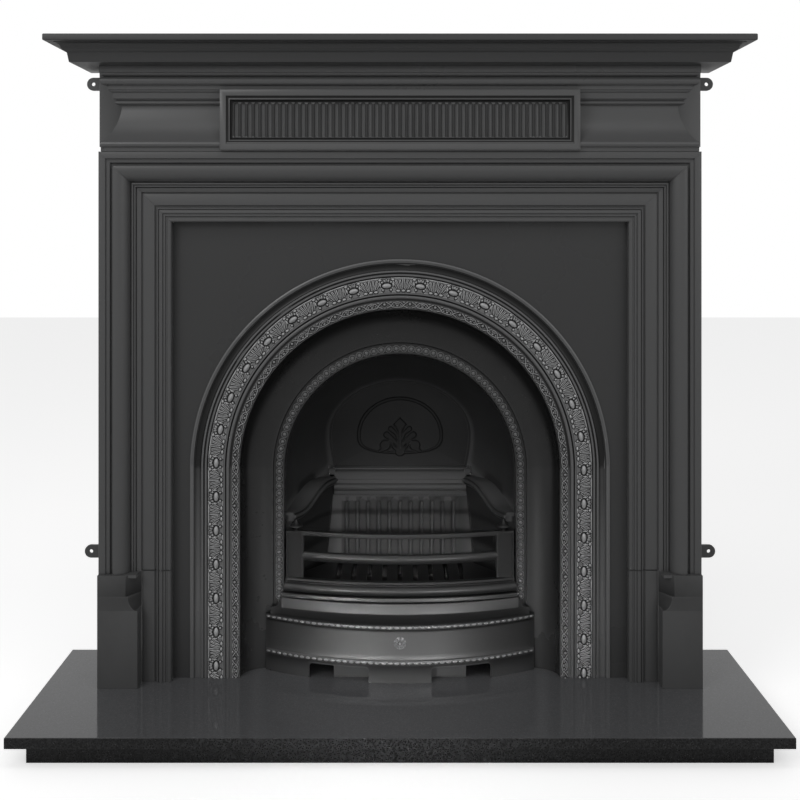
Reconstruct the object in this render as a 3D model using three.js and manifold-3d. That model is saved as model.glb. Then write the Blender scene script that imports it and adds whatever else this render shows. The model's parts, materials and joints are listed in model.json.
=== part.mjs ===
// Cast iron fireplace: a moulded surround with a fluted frieze tablet, a coved arched insert with
// its fluted fireback, damper, bowed bars and bowed ash-pit cover, on a two-part granite hearth.
// Millimetres, +Z up. The front faces -Y, and +X is on the right as one looks into the fire.
// The origin is the centre of the hearth's footprint, on the floor.
import * as THREE from 'three';
import { mergeVertices } from 'three/addons/utils/BufferGeometryUtils.js';
import Module from 'manifold-3d';

// ---- driving dimensions ----
const seatGap = 0.3;               // between faces that rest on each other
const castWall = 6;                // wall of the hollow castings

const hearthWidth = 1372;
const hearthDepth = 381;
const hearthTopThickness = 20;
const hearthBaseThickness = 38;
const hearthBaseInset = 28.5;      // step-back of the lower slab at the front and the ends
const hearthArris = 1.2;
const hearthProjection = 193;      // from the hearth's front edge back to the plinth fronts

const surroundWidth = 1161;        // over the jambs
const surroundDepth = 100;         // plinth front to the wall
const frameHeight = 1030.2;        // hearth to the top of the header
const rearFlange = 24;             // width of the flanges that meet the wall

const plinthWidth = 77.5;
const plinthHeight = 216.3;
const plinthNeckWidth = 54.4;      // front face of the plinth at its top
const plinthCurveHeight = 149;     // hearth to the foot of the hollow curve
const plinthCurveRise = 27;
const plinthCurveRun = 19;
const plinthSplayDepth = 31;       // how far back the plinth's inner cheek splays

const friezeWidth = 1152;
const friezeHeight = 163.7;
const friezeSplay = 42;            // run and depth of the splayed ends
const tabletWidth = 691.6;
const tabletHeight = 116;
const tabletBorder = 12.5;
const fluteCount = 50;
const flutePitch = 12.84;
const fluteRadius = 3.95;
const fluteLength = 66.6;

const shelfOverhang = 78.3;        // shelf edge beyond the plinth front and the jambs
const shelfEdge = 12.3;            // thickness of the shelf at its edge
const corniceHeight = 47;          // frieze top to shelf top

const lugReach = 52;               // wall lug beyond the casting
const lugRadius = 13;
const lugHoleRadius = 3.8;
const lowerLugHeight = 234.5;      // above the hearth
const upperLugHeight = 1171.5;

const insertLap = 11;              // insert panel behind the frame's inner edge
const panelSetBack = 50;           // insert panel behind the plinth fronts
const archRadius = 412;            // outside of the arch moulding
const archCentreHeight = 409.2;    // springing line above the hearth, at the panel
const archLean = 0.23;             // fall of the arch centre per millimetre of depth
const coveWidth = 58.8;
const coveDepth = 44;
const coveOuterRadius = 313.8;
const throatRadius = 231;          // fire opening inside the bead ring
const archSteps = 28;

const chamberDepth = 130;          // insert back to the fireback
const cheekFrontX = 208;           // half the fire chamber's width at the bars
const cheekBackX = 141;            // half its width at the fireback
const railFrontHeight = 300;       // side rail above the hearth at the bars
const railBackHeight = 343.5;      // and at the ledge
const railRadius = 9;
const ledgeHeight = 54.8;
const firebackThickness = 10;
const firebackFluteCount = 11;
const firebackFlutePitch = 22.7;
const firebackFluteRadius = 4.6;

const damperSetBack = 253;         // hood's rear rim behind the plinth fronts
const damperHalfWidth = 152.8;
const damperFootHalfWidth = 143;
const damperFootHeight = 368.4;    // above the hearth
const damperWaistHeight = 438.8;
const damperTopHeight = 554.2;
const damperThickness = 6;
const damperLap = 3;               // flap over the hood's rear rim
const hoodWall = 5;
const hoodFootGap = 1.3;          // bedding under the hood, on the rails
const rodRadius = 4;
const runningGap = 0.35;           // round the damper's rod

const barsSetBack = 84;            // ends of the bars behind the plinth fronts
const postInnerX = 192;
const postOuterX = 227;
const postTopHeight = 278.8;       // above the hearth
const topBarThickness = 9;
const topBarBow = 24.5;
const middleBarHeight = 228.9;
const middleBarRadius = 9.5;
const middleBarBow = 28.3;
const sillBottomHeight = 150.2;
const sillHeight = 35.9;
const sillBow = 33;

const grateHeight = 168;           // underside of the bottom grate above the hearth
const grateThickness = 12;
const grateSlotCount = 9;
const grateSlotWidth = 10;
const grateSideGap = 2;

const coverHalfWidth = 268;
const coverEndSetBack = 86;
const coverBow = 68;
const coverWall = 5;
const coverBeadHeight = 108.5;     // upper bead line above the hearth
const coverFootBeadHeight = 39.5;
const coverRimHeight = 149;
const coverRimHalfWidth = 236;
const coverRimSetBack = 45;        // rim at the middle
const coverRimBow = 41;
const airCutInner = 61;
const airCutOuter = 178;
const airCutHeight = 29;

const panHalfWidth = 130;
const panSetBack = 54;
const panLength = 168;
const panHeight = 52;
const panWall = 2;

const boltRadius = 3;
const boltHeadRadius = 5.5;
const boltHeadHeight = 4;
const boltGrip = 5;                // depth that a bolt enters its casting

// ---- levels worked out from them ----
const hearthTop = hearthBaseThickness + hearthTopThickness;
const surroundFront = hearthProjection - hearthDepth / 2;
const halfSurround = surroundWidth / 2;
const frameTop = hearthTop + frameHeight;
const plinthTop = hearthTop + plinthHeight;
const friezeBottom = frameTop + seatGap;
const friezeTop = friezeBottom + friezeHeight;
const corniceBottom = friezeTop + seatGap;
const shelfTop = corniceBottom + corniceHeight;
const insertBack = panelSetBack + coveDepth + 12;
const chamberFront = insertBack + seatGap;
const firebackSetBack = chamberFront + chamberDepth - 4;
const standing = hearthTop + seatGap;      // whatever stands on the hearth starts here

const at = (setBack) => surroundFront + setBack;   // Y of a face that far behind the plinth fronts
const point = (x, y) => new THREE.Vector2(x, y);
const radians = THREE.MathUtils.degToRad;

// ---- shape helpers ----
function arc(centreX, centreY, radiusX, radiusY, fromDegrees, toDegrees, steps) {
  const points = [];
  for (let step = 0; step <= steps; step += 1) {
    const angle = radians(fromDegrees + ((toDegrees - fromDegrees) * step) / steps);
    points.push(point(centreX + radiusX * Math.cos(angle), centreY + radiusY * Math.sin(angle)));
  }
  return points;
}

function outline(...parts) {
  return parts.flat().map((entry) => (Array.isArray(entry) ? point(...entry) : entry));
}

function pairs(list) {
  return list.map(([x, y]) => point(x, y));
}

function meshOf(positions, indices) {
  const geometry = new THREE.BufferGeometry();
  geometry.setAttribute('position', new THREE.Float32BufferAttribute(positions, 3));
  geometry.setIndex(indices);
  return signedVolume(geometry) < 0 ? turnedInsideOut(geometry) : geometry;
}

function signedVolume(geometry) {
  const corner = [new THREE.Vector3(), new THREE.Vector3(), new THREE.Vector3()];
  const index = geometry.index;
  let volume = 0;
  for (let i = 0; i < index.count; i += 3) {
    corner.forEach((c, k) => c.fromBufferAttribute(geometry.attributes.position, index.getX(i + k)));
    volume += corner[0].dot(corner[1].cross(corner[2])) / 6;
  }
  return volume;
}

function turnedInsideOut(geometry) {
  const flipped = [];
  const index = geometry.index;
  for (let i = 0; i < index.count; i += 3) {
    flipped.push(index.getX(i), index.getX(i + 2), index.getX(i + 1));
  }
  geometry.setIndex(flipped);
  return geometry;
}

// a closed solid through stations that share one flat outline: each station is a function that
// turns a point of the outline into a place in space
function loft(flatOutline, stations) {
  const ring = THREE.ShapeUtils.area(flatOutline) < 0 ? [...flatOutline].reverse() : flatOutline;
  const count = ring.length;
  const positions = [];
  const indices = [];
  for (const station of stations) {
    for (const p of ring) positions.push(...station(p.x, p.y));
  }
  for (let s = 0; s < stations.length - 1; s += 1) {
    for (let i = 0; i < count; i += 1) {
      const here = s * count + i;
      const next = s * count + ((i + 1) % count);
      indices.push(here, next, next + count, here, next + count, here + count);
    }
  }
  const far = (stations.length - 1) * count;
  for (const [a, b, c] of THREE.ShapeUtils.triangulateShape(ring, [])) {
    indices.push(c, b, a, far + a, far + b, far + c);
  }
  return meshOf(positions, indices);
}

// a curved plate between an inner and an outer grid of points
function thickShell(inner, outer) {
  const rows = inner.length;
  const columns = inner[0].length;
  const positions = [...inner.flat(), ...outer.flat()].flat();
  const skin = rows * columns;
  const indices = [];
  const quad = (a, b, c, d) => indices.push(a, b, c, a, c, d);
  for (let r = 0; r < rows - 1; r += 1) {
    for (let c = 0; c < columns - 1; c += 1) {
      const a = r * columns + c;
      quad(a, a + 1, a + columns + 1, a + columns);
      quad(skin + a, skin + a + columns, skin + a + columns + 1, skin + a + 1);
    }
    for (const [c, swap] of [[0, false], [columns - 1, true]]) {
      const a = r * columns + c;
      const edge = [a, a + columns, skin + a + columns, skin + a];
      quad(...(swap ? edge.reverse() : edge));
    }
  }
  for (let c = 0; c < columns - 1; c += 1) {
    quad(c, skin + c, skin + c + 1, c + 1);
    const a = (rows - 1) * columns + c;
    quad(a, a + 1, skin + a + 1, skin + a);
  }
  return meshOf(positions, indices);
}

// one vertex at each corner, and no triangle without an area
function weld(source) {
  const geometry = source.clone();
  geometry.deleteAttribute('normal');
  geometry.deleteAttribute('uv');
  const merged = mergeVertices(geometry, 1e-3);
  const indices = [];
  for (let i = 0; i < merged.index.count; i += 3) {
    const [a, b, c] = [0, 1, 2].map((k) => merged.index.getX(i + k));
    if (a !== b && b !== c && c !== a) indices.push(a, b, c);
  }
  merged.setIndex(indices);
  return merged;
}

function box(fromX, toX, fromY, toY, fromZ, toZ) {
  const block = weld(new THREE.BoxGeometry(toX - fromX, toY - fromY, toZ - fromZ));
  return block.translate((fromX + toX) / 2, (fromY + toY) / 2, (fromZ + toZ) / 2);
}

function rod(radius, length, sides, axis) {
  const cylinder = weld(new THREE.CylinderGeometry(radius, radius, length, sides));
  if (axis === 'x') cylinder.rotateZ(Math.PI / 2);
  if (axis === 'z') cylinder.rotateX(Math.PI / 2);
  return cylinder;
}

// a round-ended cutter standing upright, for one flute
function fluteCutter(radius, length) {
  const cutter = weld(new THREE.CapsuleGeometry(radius, length - 2 * radius, 2, 6));
  return cutter.rotateX(Math.PI / 2);
}

// an outline in X and Z, made solid between two depths
function plate(shape, fromSetBack, toSetBack) {
  const depth = toSetBack - fromSetBack;
  const solid = weld(new THREE.ExtrudeGeometry(shape, { depth, bevelEnabled: false }));
  return solid.rotateX(Math.PI / 2).translate(0, at(toSetBack), 0);
}

// an outline in X and Y, made solid between two heights
function slab(shape, fromZ, toZ) {
  const depth = toZ - fromZ;
  const solid = weld(new THREE.ExtrudeGeometry(shape, { depth, bevelEnabled: false }));
  return solid.translate(0, 0, fromZ);
}

function toSolid(geometry) {
  return new wasm.Manifold(new wasm.Mesh({
    numProp: 3,
    vertProperties: new Float32Array(geometry.attributes.position.array),
    triVerts: new Uint32Array(geometry.index.array),
  }));
}

function toGeometry(solid) {
  const mesh = solid.getMesh();
  const geometry = new THREE.BufferGeometry();
  geometry.setAttribute('position', new THREE.BufferAttribute(mesh.vertProperties, 3));
  geometry.setIndex(new THREE.BufferAttribute(mesh.triVerts, 1));
  return geometry;
}

function joined(...geometries) {
  return toGeometry(geometries.map(toSolid).reduce((sum, next) => sum.add(next)));
}

function cut(geometry, ...tools) {
  return toGeometry(tools.map(toSolid).reduce((rest, tool) => rest.subtract(tool), toSolid(geometry)));
}

const mirrored = (geometry) => turnedInsideOut(geometry.clone().scale(-1, 1, 1));

const wasm = await Module();
wasm.setup();

// ---- finishes ----
const finishes = {
  granite: { color: 0x26272a, roughness: 0.15, metalness: 0 },
  surroundIron: { color: 0x515254, roughness: 0.55, metalness: 0.3 },
  insertIron: { color: 0x3a3b3d, roughness: 0.5, metalness: 0.35 },
  fireIron: { color: 0x222324, roughness: 0.75, metalness: 0.25 },
  barIron: { color: 0x5a5b5d, roughness: 0.4, metalness: 0.5 },
  panSteel: { color: 0x2f3032, roughness: 0.6, metalness: 0.5 },
  boltSteel: { color: 0x7c7e80, roughness: 0.45, metalness: 0.8 },
};

const fireplace = new THREE.Group();

function addPiece(name, geometry, finish) {
  geometry.computeVertexNormals();
  const material = new THREE.MeshStandardMaterial({ ...finishes[finish], flatShading: true });
  const mesh = new THREE.Mesh(geometry, material);
  mesh.name = name;
  fireplace.add(mesh);
}

// ---- hearth ----
function hearthPlate(fromX, toX, fromY, toY, fromZ, toZ) {
  const shape = new THREE.Shape(pairs([
    [fromX + hearthArris, fromY + hearthArris], [toX - hearthArris, fromY + hearthArris],
    [toX - hearthArris, toY - hearthArris], [fromX + hearthArris, toY - hearthArris],
  ]));
  const depth = toZ - fromZ - 2 * hearthArris;
  const bevel = { bevelThickness: hearthArris, bevelSize: hearthArris, bevelSegments: 2 };
  return weld(new THREE.ExtrudeGeometry(shape, { depth, ...bevel })).translate(0, 0, fromZ + hearthArris);
}

addPiece('hearth_base_slab', hearthPlate(
  hearthBaseInset - hearthWidth / 2, hearthWidth / 2 - hearthBaseInset,
  hearthBaseInset - hearthDepth / 2, hearthDepth / 2, 0, hearthBaseThickness,
), 'granite');
addPiece('hearth_top_slab', hearthPlate(
  -hearthWidth / 2, hearthWidth / 2, -hearthDepth / 2, hearthDepth / 2,
  hearthBaseThickness + seatGap, hearthTop,
), 'granite');

// ---- moulded frame: two jambs and a header, mitred ----
// the section runs from the outer edge (0) inwards; the second number is the depth behind the
// plinth fronts
const ovoloCentre = 34;
const ovoloWidth = 23.5;
const ovoloRise = 22.5;
const ovoloFoot = 28;
const frameWidth = 135.5;
const lipDepth = panelSetBack - seatGap;

const frameFront = outline(
  [[0, 9.5], [1, 8.5], [13, 8.5], [14.5, 12], [21, 12], [23, 17], [27.8, 17]],
  arc(ovoloCentre, ovoloFoot, ovoloWidth, ovoloRise, -105, -2, 9),
  [[58.5, 28.5], [59.5, 25], [62.8, 25], [63.8, 27.5], [65, 25.5], [67.3, 25.5], [68.5, 29.5]],
  [[70, 27], [77.5, 29.5], [78.5, 33], [80, 33], [81, 31], [103, 31], [104, 34], [106.5, 34]],
  arc(109.2, 31, 1.9, 2.2, 180, 360, 3),
  [[111.8, 31], [112.8, 27], [118.8, 27], [119.8, 29.5], [121, 28.5], [124, 28.5], [125, 31]],
  [[127.5, 31], [128.5, 29.5], [133.5, 29.5], [frameWidth, 31.5]],
);
const frameBack = outline([
  [frameWidth, lipDepth], [123, lipDepth], [123, 46], [110, 41], [81, 40], [60, 37], [52, 30], [44, 18],
  [32, 14], [26, 25], [castWall, 18], [castWall, surroundDepth - castWall],
  [rearFlange, surroundDepth - castWall], [rearFlange, surroundDepth], [0, surroundDepth],
]);
const frameSection = [...frameFront, ...frameBack];
const openingHalf = halfSurround - frameWidth;
const openingTop = frameTop - frameWidth;

function wallLug(side, edgeX, height) {
  const tipX = edgeX + lugReach - lugRadius;
  const tab = new THREE.Shape(outline(
    [[edgeX - castWall, -lugRadius], [tipX, -lugRadius]],
    arc(tipX, 0, lugRadius, lugRadius, -75, 90, 8),
    [[edgeX - castWall, lugRadius]],
  ));
  tab.holes.push(new THREE.Path(arc(tipX, 0, lugHoleRadius, lugHoleRadius, 360, 30, 11)));
  const lug = plate(tab, surroundDepth - castWall, surroundDepth).translate(0, 0, hearthTop + height);
  return side < 0 ? mirrored(lug) : lug;
}

function boltHole(x, setBack, z, length, axis = 'y') {
  return rod(boltRadius + seatGap, length, 12, axis).translate(x, at(setBack), z);
}

// a hexagon-headed bolt along +Y, its head's bearing face at the origin
function boltAlong(grip) {
  const head = rod(boltHeadRadius, boltHeadHeight, 6, 'y').translate(0, boltHeadHeight / 2, 0);
  const shank = rod(boltRadius, grip + 1, 10, 'y').translate(0, (1 - grip) / 2, 0);
  return joined(head, shank);
}

const insertBoltX = openingHalf + insertLap / 2;
const insertBoltZ = openingTop + insertLap / 2;
const insertBoltPlaces = [];
for (const side of [-1, 1]) {
  for (const height of [200, 720]) insertBoltPlaces.push([side * insertBoltX, hearthTop + height]);
  insertBoltPlaces.push([side * openingHalf * 0.5, insertBoltZ]);
}
const insertBoltHoles = insertBoltPlaces.map(([x, z]) => boltHole(x, panelSetBack, z, 2 * boltGrip + 14));

const jambBoltSetBack = 60;
const jambBoltX = halfSurround - plinthWidth / 2;

function jamb(side) {
  const place = (z) => (u, d) => [halfSurround - u, at(d), z];
  const mitre = (u, d) => [halfSurround - u, at(d), frameTop - u - seatGap];
  const upper = loft(frameSection, [place(plinthTop + seatGap), mitre]);
  const innerStrip = frameSection.filter((p) => p.x > plinthWidth + seatGap);
  const lower = loft(innerStrip, [place(standing), place(plinthTop + 2)]);
  const foot = box(
    halfSurround - plinthWidth, halfSurround - castWall / 2, at(38), at(surroundDepth - castWall / 2),
    plinthTop + seatGap, plinthTop + seatGap + castWall,
  );
  const lug = wallLug(1, halfSurround, lowerLugHeight);
  const footHole = boltHole(jambBoltX, jambBoltSetBack, plinthTop, 40, 'z');
  const casting = cut(joined(upper, lower, foot, lug), footHole, ...insertBoltHoles);
  return side < 0 ? mirrored(casting) : casting;
}

function header() {
  const end = (side) => (u, d) => [side * (halfSurround - u), at(d), frameTop - u];
  return cut(loft(frameSection, [end(-1), end(1)]), ...insertBoltHoles, ...friezeBoltHoles());
}

// ---- corner plates behind the mitres ----
const cornerPlateReach = 90;
const cornerPlateThickness = 4;
const cornerPlateWidth = rearFlange - castWall - 2;
const cornerPlateBack = surroundDepth - castWall - seatGap;
const cornerBoltOffset = castWall + seatGap + 1 + cornerPlateWidth / 2;
const cornerBoltReach = castWall + 70;
const cornerBoltPlaces = [-1, 1].flatMap((side) => [
  [side * (halfSurround - cornerBoltOffset), frameTop - cornerBoltReach],
  [side * (halfSurround - cornerBoltReach), frameTop - cornerBoltOffset],
]);
const cornerBoltHoles = cornerBoltPlaces.map(([x, z]) => boltHole(x, surroundDepth, z, 60));

function cornerPlate(side) {
  const edgeX = halfSurround - castWall - 1;
  const edgeZ = frameTop - castWall - 1;
  const shape = new THREE.Shape(pairs([
    [edgeX, edgeZ], [edgeX, edgeZ - cornerPlateReach], [edgeX - cornerPlateWidth, edgeZ - cornerPlateReach],
    [edgeX - cornerPlateWidth, edgeZ - cornerPlateWidth],
    [edgeX - cornerPlateReach, edgeZ - cornerPlateWidth], [edgeX - cornerPlateReach, edgeZ],
  ]));
  const angle = cut(plate(shape, cornerPlateBack - cornerPlateThickness, cornerPlateBack), ...cornerBoltHoles);
  return side < 0 ? mirrored(angle) : angle;
}

// ---- frieze: one casting with splayed ends and the fluted tablet ----
const halfFrieze = friezeWidth / 2;
const friezeBoltX = 430;
const friezeBoltSetBack = 62;

// bolts that hold the frieze down to the header, and the shelf down to the frieze
function friezeBoltHoles() {
  return [-1, 1].map((side) => boltHole(side * friezeBoltX, friezeBoltSetBack, friezeBottom, 60, 'z'));
}

const shelfBoltSetBack = 30;
function shelfBoltHoles() {
  return [-1, 1].map((side) => boltHole(side * friezeBoltX, shelfBoltSetBack, friezeTop, 40, 'z'));
}

function friezeSection() {
  const level = (height) => friezeBottom + height;
  const sweepTop = point(34, level(84));
  const sweepFoot = point(2, level(17));
  const sweep = new THREE.QuadraticBezierCurve(sweepTop, point(27, level(40)), sweepFoot).getPoints(9);
  return outline(
    [[9, level(0)], [9, level(7.5)], [6, level(8)], [3, level(10)], [1.2, level(13.5)]],
    sweep.reverse(),
    [[34, level(91)], [28.5, level(92)]],
    arc(26.5, level(96), 3.2, 3.4, 270, 90, 4),
    [[24, level(101.5)], [20, level(103)], [20, level(114.5)], [15, level(116)], [15, level(118.5)]],
    [[12, level(119.5)], [12, level(126.5)]],
    arc(8, level(135.5), 8, 8, 270, 90, 7),
    [[5, level(145)], [1, level(146.5)], [1, level(149.5)], [-3, level(151)], [-3, level(friezeHeight)]],
    [[surroundDepth, level(friezeHeight)], [surroundDepth, level(friezeHeight - castWall)]],
    [[5, level(friezeHeight - castWall)], [9, level(145)], [14, level(135)], [20, level(122)]],
    [[28, level(110)], [41, level(97)], [41, level(80)], [36.5, level(62)], [29, level(42)]],
    [[19, level(25)], [12, level(14)], [17, level(castWall)], [surroundDepth, level(castWall)]],
    [[surroundDepth, level(0)]],
  );
}

function splayedEnd(side) {
  const shape = new THREE.Shape(pairs([
    [0, 1], [1, 1], [friezeSplay, friezeSplay], [friezeSplay, friezeSplay + castWall],
    [castWall, friezeSplay + castWall], [castWall, surroundDepth], [0, surroundDepth],
  ].map(([inwards, d]) => [side * (halfFrieze - inwards), at(d)])));
  return slab(shape, friezeBottom + 8, friezeTop - castWall / 2);
}

function tablet() {
  const half = tabletWidth / 2;
  const bottom = friezeBottom + 2.3;
  const top = bottom + tabletHeight;
  const sink = (border, depth, floorBorder, floorDepth) => {
    const ring = pairs([[-1, -1], [1, -1], [1, 1], [-1, 1]]);
    const corner = (inset, d) => (x, z) => [
      x * (half - inset), at(d), (z < 0 ? bottom + inset : top - inset),
    ];
    return loft(ring, [corner(border, depth), corner(floorBorder, floorDepth)]);
  };
  const block = box(-half, half, at(0), at(38), bottom, top);
  const flutes = [];
  const middle = (bottom + top) / 2 - 1;
  for (let i = 0; i < fluteCount; i += 1) {
    const cutter = fluteCutter(fluteRadius, fluteLength);
    flutes.push(cutter.translate((i - (fluteCount - 1) / 2) * flutePitch, at(7), middle));
  }
  return cut(
    block, sink(tabletBorder, -1, tabletBorder, 2), sink(tabletBorder + 5.5, 1, tabletBorder + 11.5, 7),
    ...flutes,
  );
}

// the tablet is cored out behind to an even thickness
function tabletPocket() {
  const half = tabletWidth / 2 - 9;
  return box(-half, half, at(15), at(43), friezeBottom + 12, friezeBottom + tabletHeight - 8);
}

function frieze() {
  const run = (x) => (d, z) => [x, at(d), z];
  const moulding = loft(friezeSection(), [run(-halfFrieze), run(halfFrieze)]);
  const lugs = [-1, 1].map((side) => wallLug(side, halfFrieze, upperLugHeight));
  return cut(
    joined(moulding, splayedEnd(-1), splayedEnd(1), ...lugs, tablet()),
    tabletPocket(), ...friezeBoltHoles(), ...shelfBoltHoles(),
  );
}

// ---- mantel shelf: a cornice moulding returned round both ends under a flat shelf ----
const soffitDepth = 40;            // how far the soffit reaches back over the frieze

function mantelShelf() {
  const level = (height) => corniceBottom + height;
  const edgeFoot = corniceHeight - shelfEdge;
  // overhang beyond the plinth front against height
  const section = outline(
    [[-soffitDepth, level(0)], [40.9, level(0)], [43.9, level(17.5)], [46.5, level(19)], [50.5, level(22)]],
    [[51.8, level(24)]],
    arc(61.7, level(24), 9, 9.5, 180, 90, 4),
    [[63, level(edgeFoot - 1)], [63, level(edgeFoot)], [shelfOverhang - 1, level(edgeFoot)]],
    [[shelfOverhang, level(edgeFoot + 1.5)], [shelfOverhang, level(corniceHeight - 1.5)]],
    [[shelfOverhang - 1.5, level(corniceHeight)], [30, level(corniceHeight)]],
    [[30, level(corniceHeight - castWall)], [52, level(edgeFoot)]],
    [[44, level(26)], [36, level(20)], [35, level(castWall)], [-soffitDepth, level(castWall)]],
  );
  const rear = at(surroundDepth);
  const stations = [[-1, rear], [-1, null], [1, null], [1, rear]].map(([side, y]) => (over, z) => (
    [side * (halfSurround + over), y ?? surroundFront - over, z]
  ));
  const moulding = loft(section, stations);
  const top = box(
    -halfSurround - 40, halfSurround + 40, surroundFront - 40, rear,
    shelfTop - castWall, shelfTop,
  );
  return cut(joined(moulding, top), ...shelfBoltHoles());
}

// ---- plinth blocks ----
function plinthBlock(side) {
  const outer = pairs([[0, 0], [1, 0], [2, 1], [2, 2], [0, 2]]);
  const depths = [0, plinthSplayDepth, surroundDepth];
  const station = (faceWidth, z) => (s, t) => (
    [halfSurround - [0, faceWidth, plinthWidth][s], at(depths[t]), z]
  );
  const curveBase = hearthTop + plinthCurveHeight;
  const curve = arc(plinthWidth, plinthCurveRise, plinthCurveRun, plinthCurveRise, 270, 180, 7);
  const neckBase = curveBase + plinthCurveRise;
  const stations = [
    station(plinthWidth, standing),
    ...curve.map((p) => station(p.x, curveBase + p.y)),
    station(plinthNeckWidth, neckBase + 0.6),
    station(plinthNeckWidth, plinthTop),
  ];
  const hollow = new THREE.Shape(pairs([
    [castWall, 8], [plinthNeckWidth - 3, 8], [plinthWidth - castWall, plinthSplayDepth + 5],
    [plinthWidth - castWall, surroundDepth + 1], [castWall, surroundDepth + 1],
  ].map(([u, d]) => [halfSurround - u, at(d)])));
  const block = cut(
    loft(outer, stations),
    slab(hollow, standing + castWall, plinthTop - castWall),
    boltHole(jambBoltX, jambBoltSetBack, plinthTop, 40, 'z'),
  );
  return side < 0 ? mirrored(block) : block;
}

// ---- arched insert ----
const archCentre = (setBack) => hearthTop + archCentreHeight - archLean * (setBack - panelSetBack);

// sweeps a section of radius against set-back up one side, round the arch and down the other
function archSweep(section, footHeight) {
  const stations = [];
  stations.push((r, d) => [-r, at(d), footHeight]);
  for (let step = 0; step <= archSteps; step += 1) {
    const angle = Math.PI - (Math.PI * step) / archSteps;
    stations.push((r, d) => [r * Math.cos(angle), at(d), archCentre(d) + r * Math.sin(angle)]);
  }
  stations.push((r, d) => [r, at(d), footHeight]);
  return loft(section, stations);
}

const coveInnerRadius = coveOuterRadius - coveWidth;
const coveEdge = panelSetBack + 4;

function archSection() {
  const face = panelSetBack;
  return outline(
    [[archRadius, face + 3], [archRadius, face - 2.5], [archRadius - 3.5, face - 3.5]],
    [[archRadius - 7, face - 2.5], [archRadius - 8, face]],
    arc(archRadius - 15, face, 6.5, 3.5, 0, 180, 3),
    [[389.5, face - 2.5], [386.5, face - 2.5], [385.5, face + 0.5], [383.5, face + 0.5]],
    [[382.5, face - 2.5], [379.5, face - 2.5], [378.3, face + 0.5], [347.6, face + 0.5]],
    [[346.4, face - 3], [343.6, face - 3], [342.4, face + 0.5], [340.8, face - 1.5]],
    [[338.5, face - 3.2], [336, face - 2.5], [333.5, face + 1.5], [331.6, face + 1.5]],
    [[330.4, face + 0.8], [316, face + 0.8], [315, face + 0.2], [coveOuterRadius, face + 2]],
    arc(coveInnerRadius, coveEdge, coveWidth, coveDepth, 0, 90, 7),
    [[254, 101], [249.5, 101], [248.5, 98], [236.5, 98], [235.5, 96.5], [232.5, 96.5]],
    [[throatRadius, 99], [throatRadius, insertBack], [coveInnerRadius + 4, insertBack]],
    arc(coveInnerRadius, coveEdge + 2, coveWidth + 7, coveDepth + 6, 84, 12, 4),
    [[322, face + 8], [archRadius - 4, face + 8], [archRadius - 4, face + 3]],
  );
}

const chamberBoltRadius = 242;     // bolts into the back of the bead ring
const hoodBoltAngles = [30, 90, 150];
const cheekBoltHeights = [60, 230];
const hoodBoltPlaces = hoodBoltAngles.map((degrees) => {
  const angle = radians(degrees);
  const centre = archCentre(insertBack);
  return [chamberBoltRadius * Math.cos(angle), centre + chamberBoltRadius * Math.sin(angle)];
});
const cheekBoltPlaces = [-1, 1].flatMap((side) => cheekBoltHeights.map((height) => (
  [side * chamberBoltRadius, hearthTop + height]
)));
const chamberBoltHoles = [...hoodBoltPlaces, ...cheekBoltPlaces].map(([x, z]) => (
  boltHole(x, insertBack, z, 2 * boltGrip + 1)
));
const flangeBoltHoles = [...hoodBoltPlaces, ...cheekBoltPlaces].map(([x, z]) => (
  boltHole(x, insertBack, z, 40)
));

function insertFront() {
  const halfPanel = openingHalf + insertLap;
  const panelTop = openingTop + insertLap;
  const holeRadius = archRadius - 9;
  const centre = archCentre(panelSetBack);
  const shape = new THREE.Shape(outline(
    [[-halfPanel, standing], [-holeRadius, standing]],
    arc(0, centre, holeRadius, holeRadius, 180, 0, archSteps),
    [[holeRadius, standing], [halfPanel, standing], [halfPanel, panelTop], [-halfPanel, panelTop]],
  ));
  const panel = plate(shape, panelSetBack, panelSetBack + castWall);
  return cut(joined(panel, archSweep(archSection(), standing)), ...insertBoltHoles, ...chamberBoltHoles);
}

// ---- fire chamber ----
const smooth = (t) => t * t * (3 - 2 * t);
const chamberBack = firebackSetBack - seatGap;
const chamberFraction = (setBack) => THREE.MathUtils.clamp(
  (setBack - chamberFront) / (chamberBack - chamberFront), 0, 1,
);
const cheekX = (setBack) => THREE.MathUtils.lerp(cheekFrontX, cheekBackX, smooth(chamberFraction(setBack)));
const railZ = (setBack) => hearthTop + THREE.MathUtils.lerp(
  railFrontHeight, railBackHeight, smooth(chamberFraction(setBack)),
);
const chamberStations = 8;
const stationDepths = [];
for (let i = 0; i <= chamberStations; i += 1) {
  stationDepths.push(THREE.MathUtils.lerp(chamberFront, chamberBack, i / chamberStations));
}

const cheekFlange = 46;            // front flange of a cheek, outwards from its inner face
const grateRestLength = 22;
const barRestTop = hearthTop + sillBottomHeight - seatGap;

const firebackBoltX = cheekBackX + 12;
const firebackBoltPlaces = [-1, 1].flatMap((side) => [90, 260].map((height) => (
  [side * firebackBoltX, hearthTop + height]
)));
const firebackBoltHoles = firebackBoltPlaces.map(([x, z]) => boltHole(x, firebackSetBack, z, 50));

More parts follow.
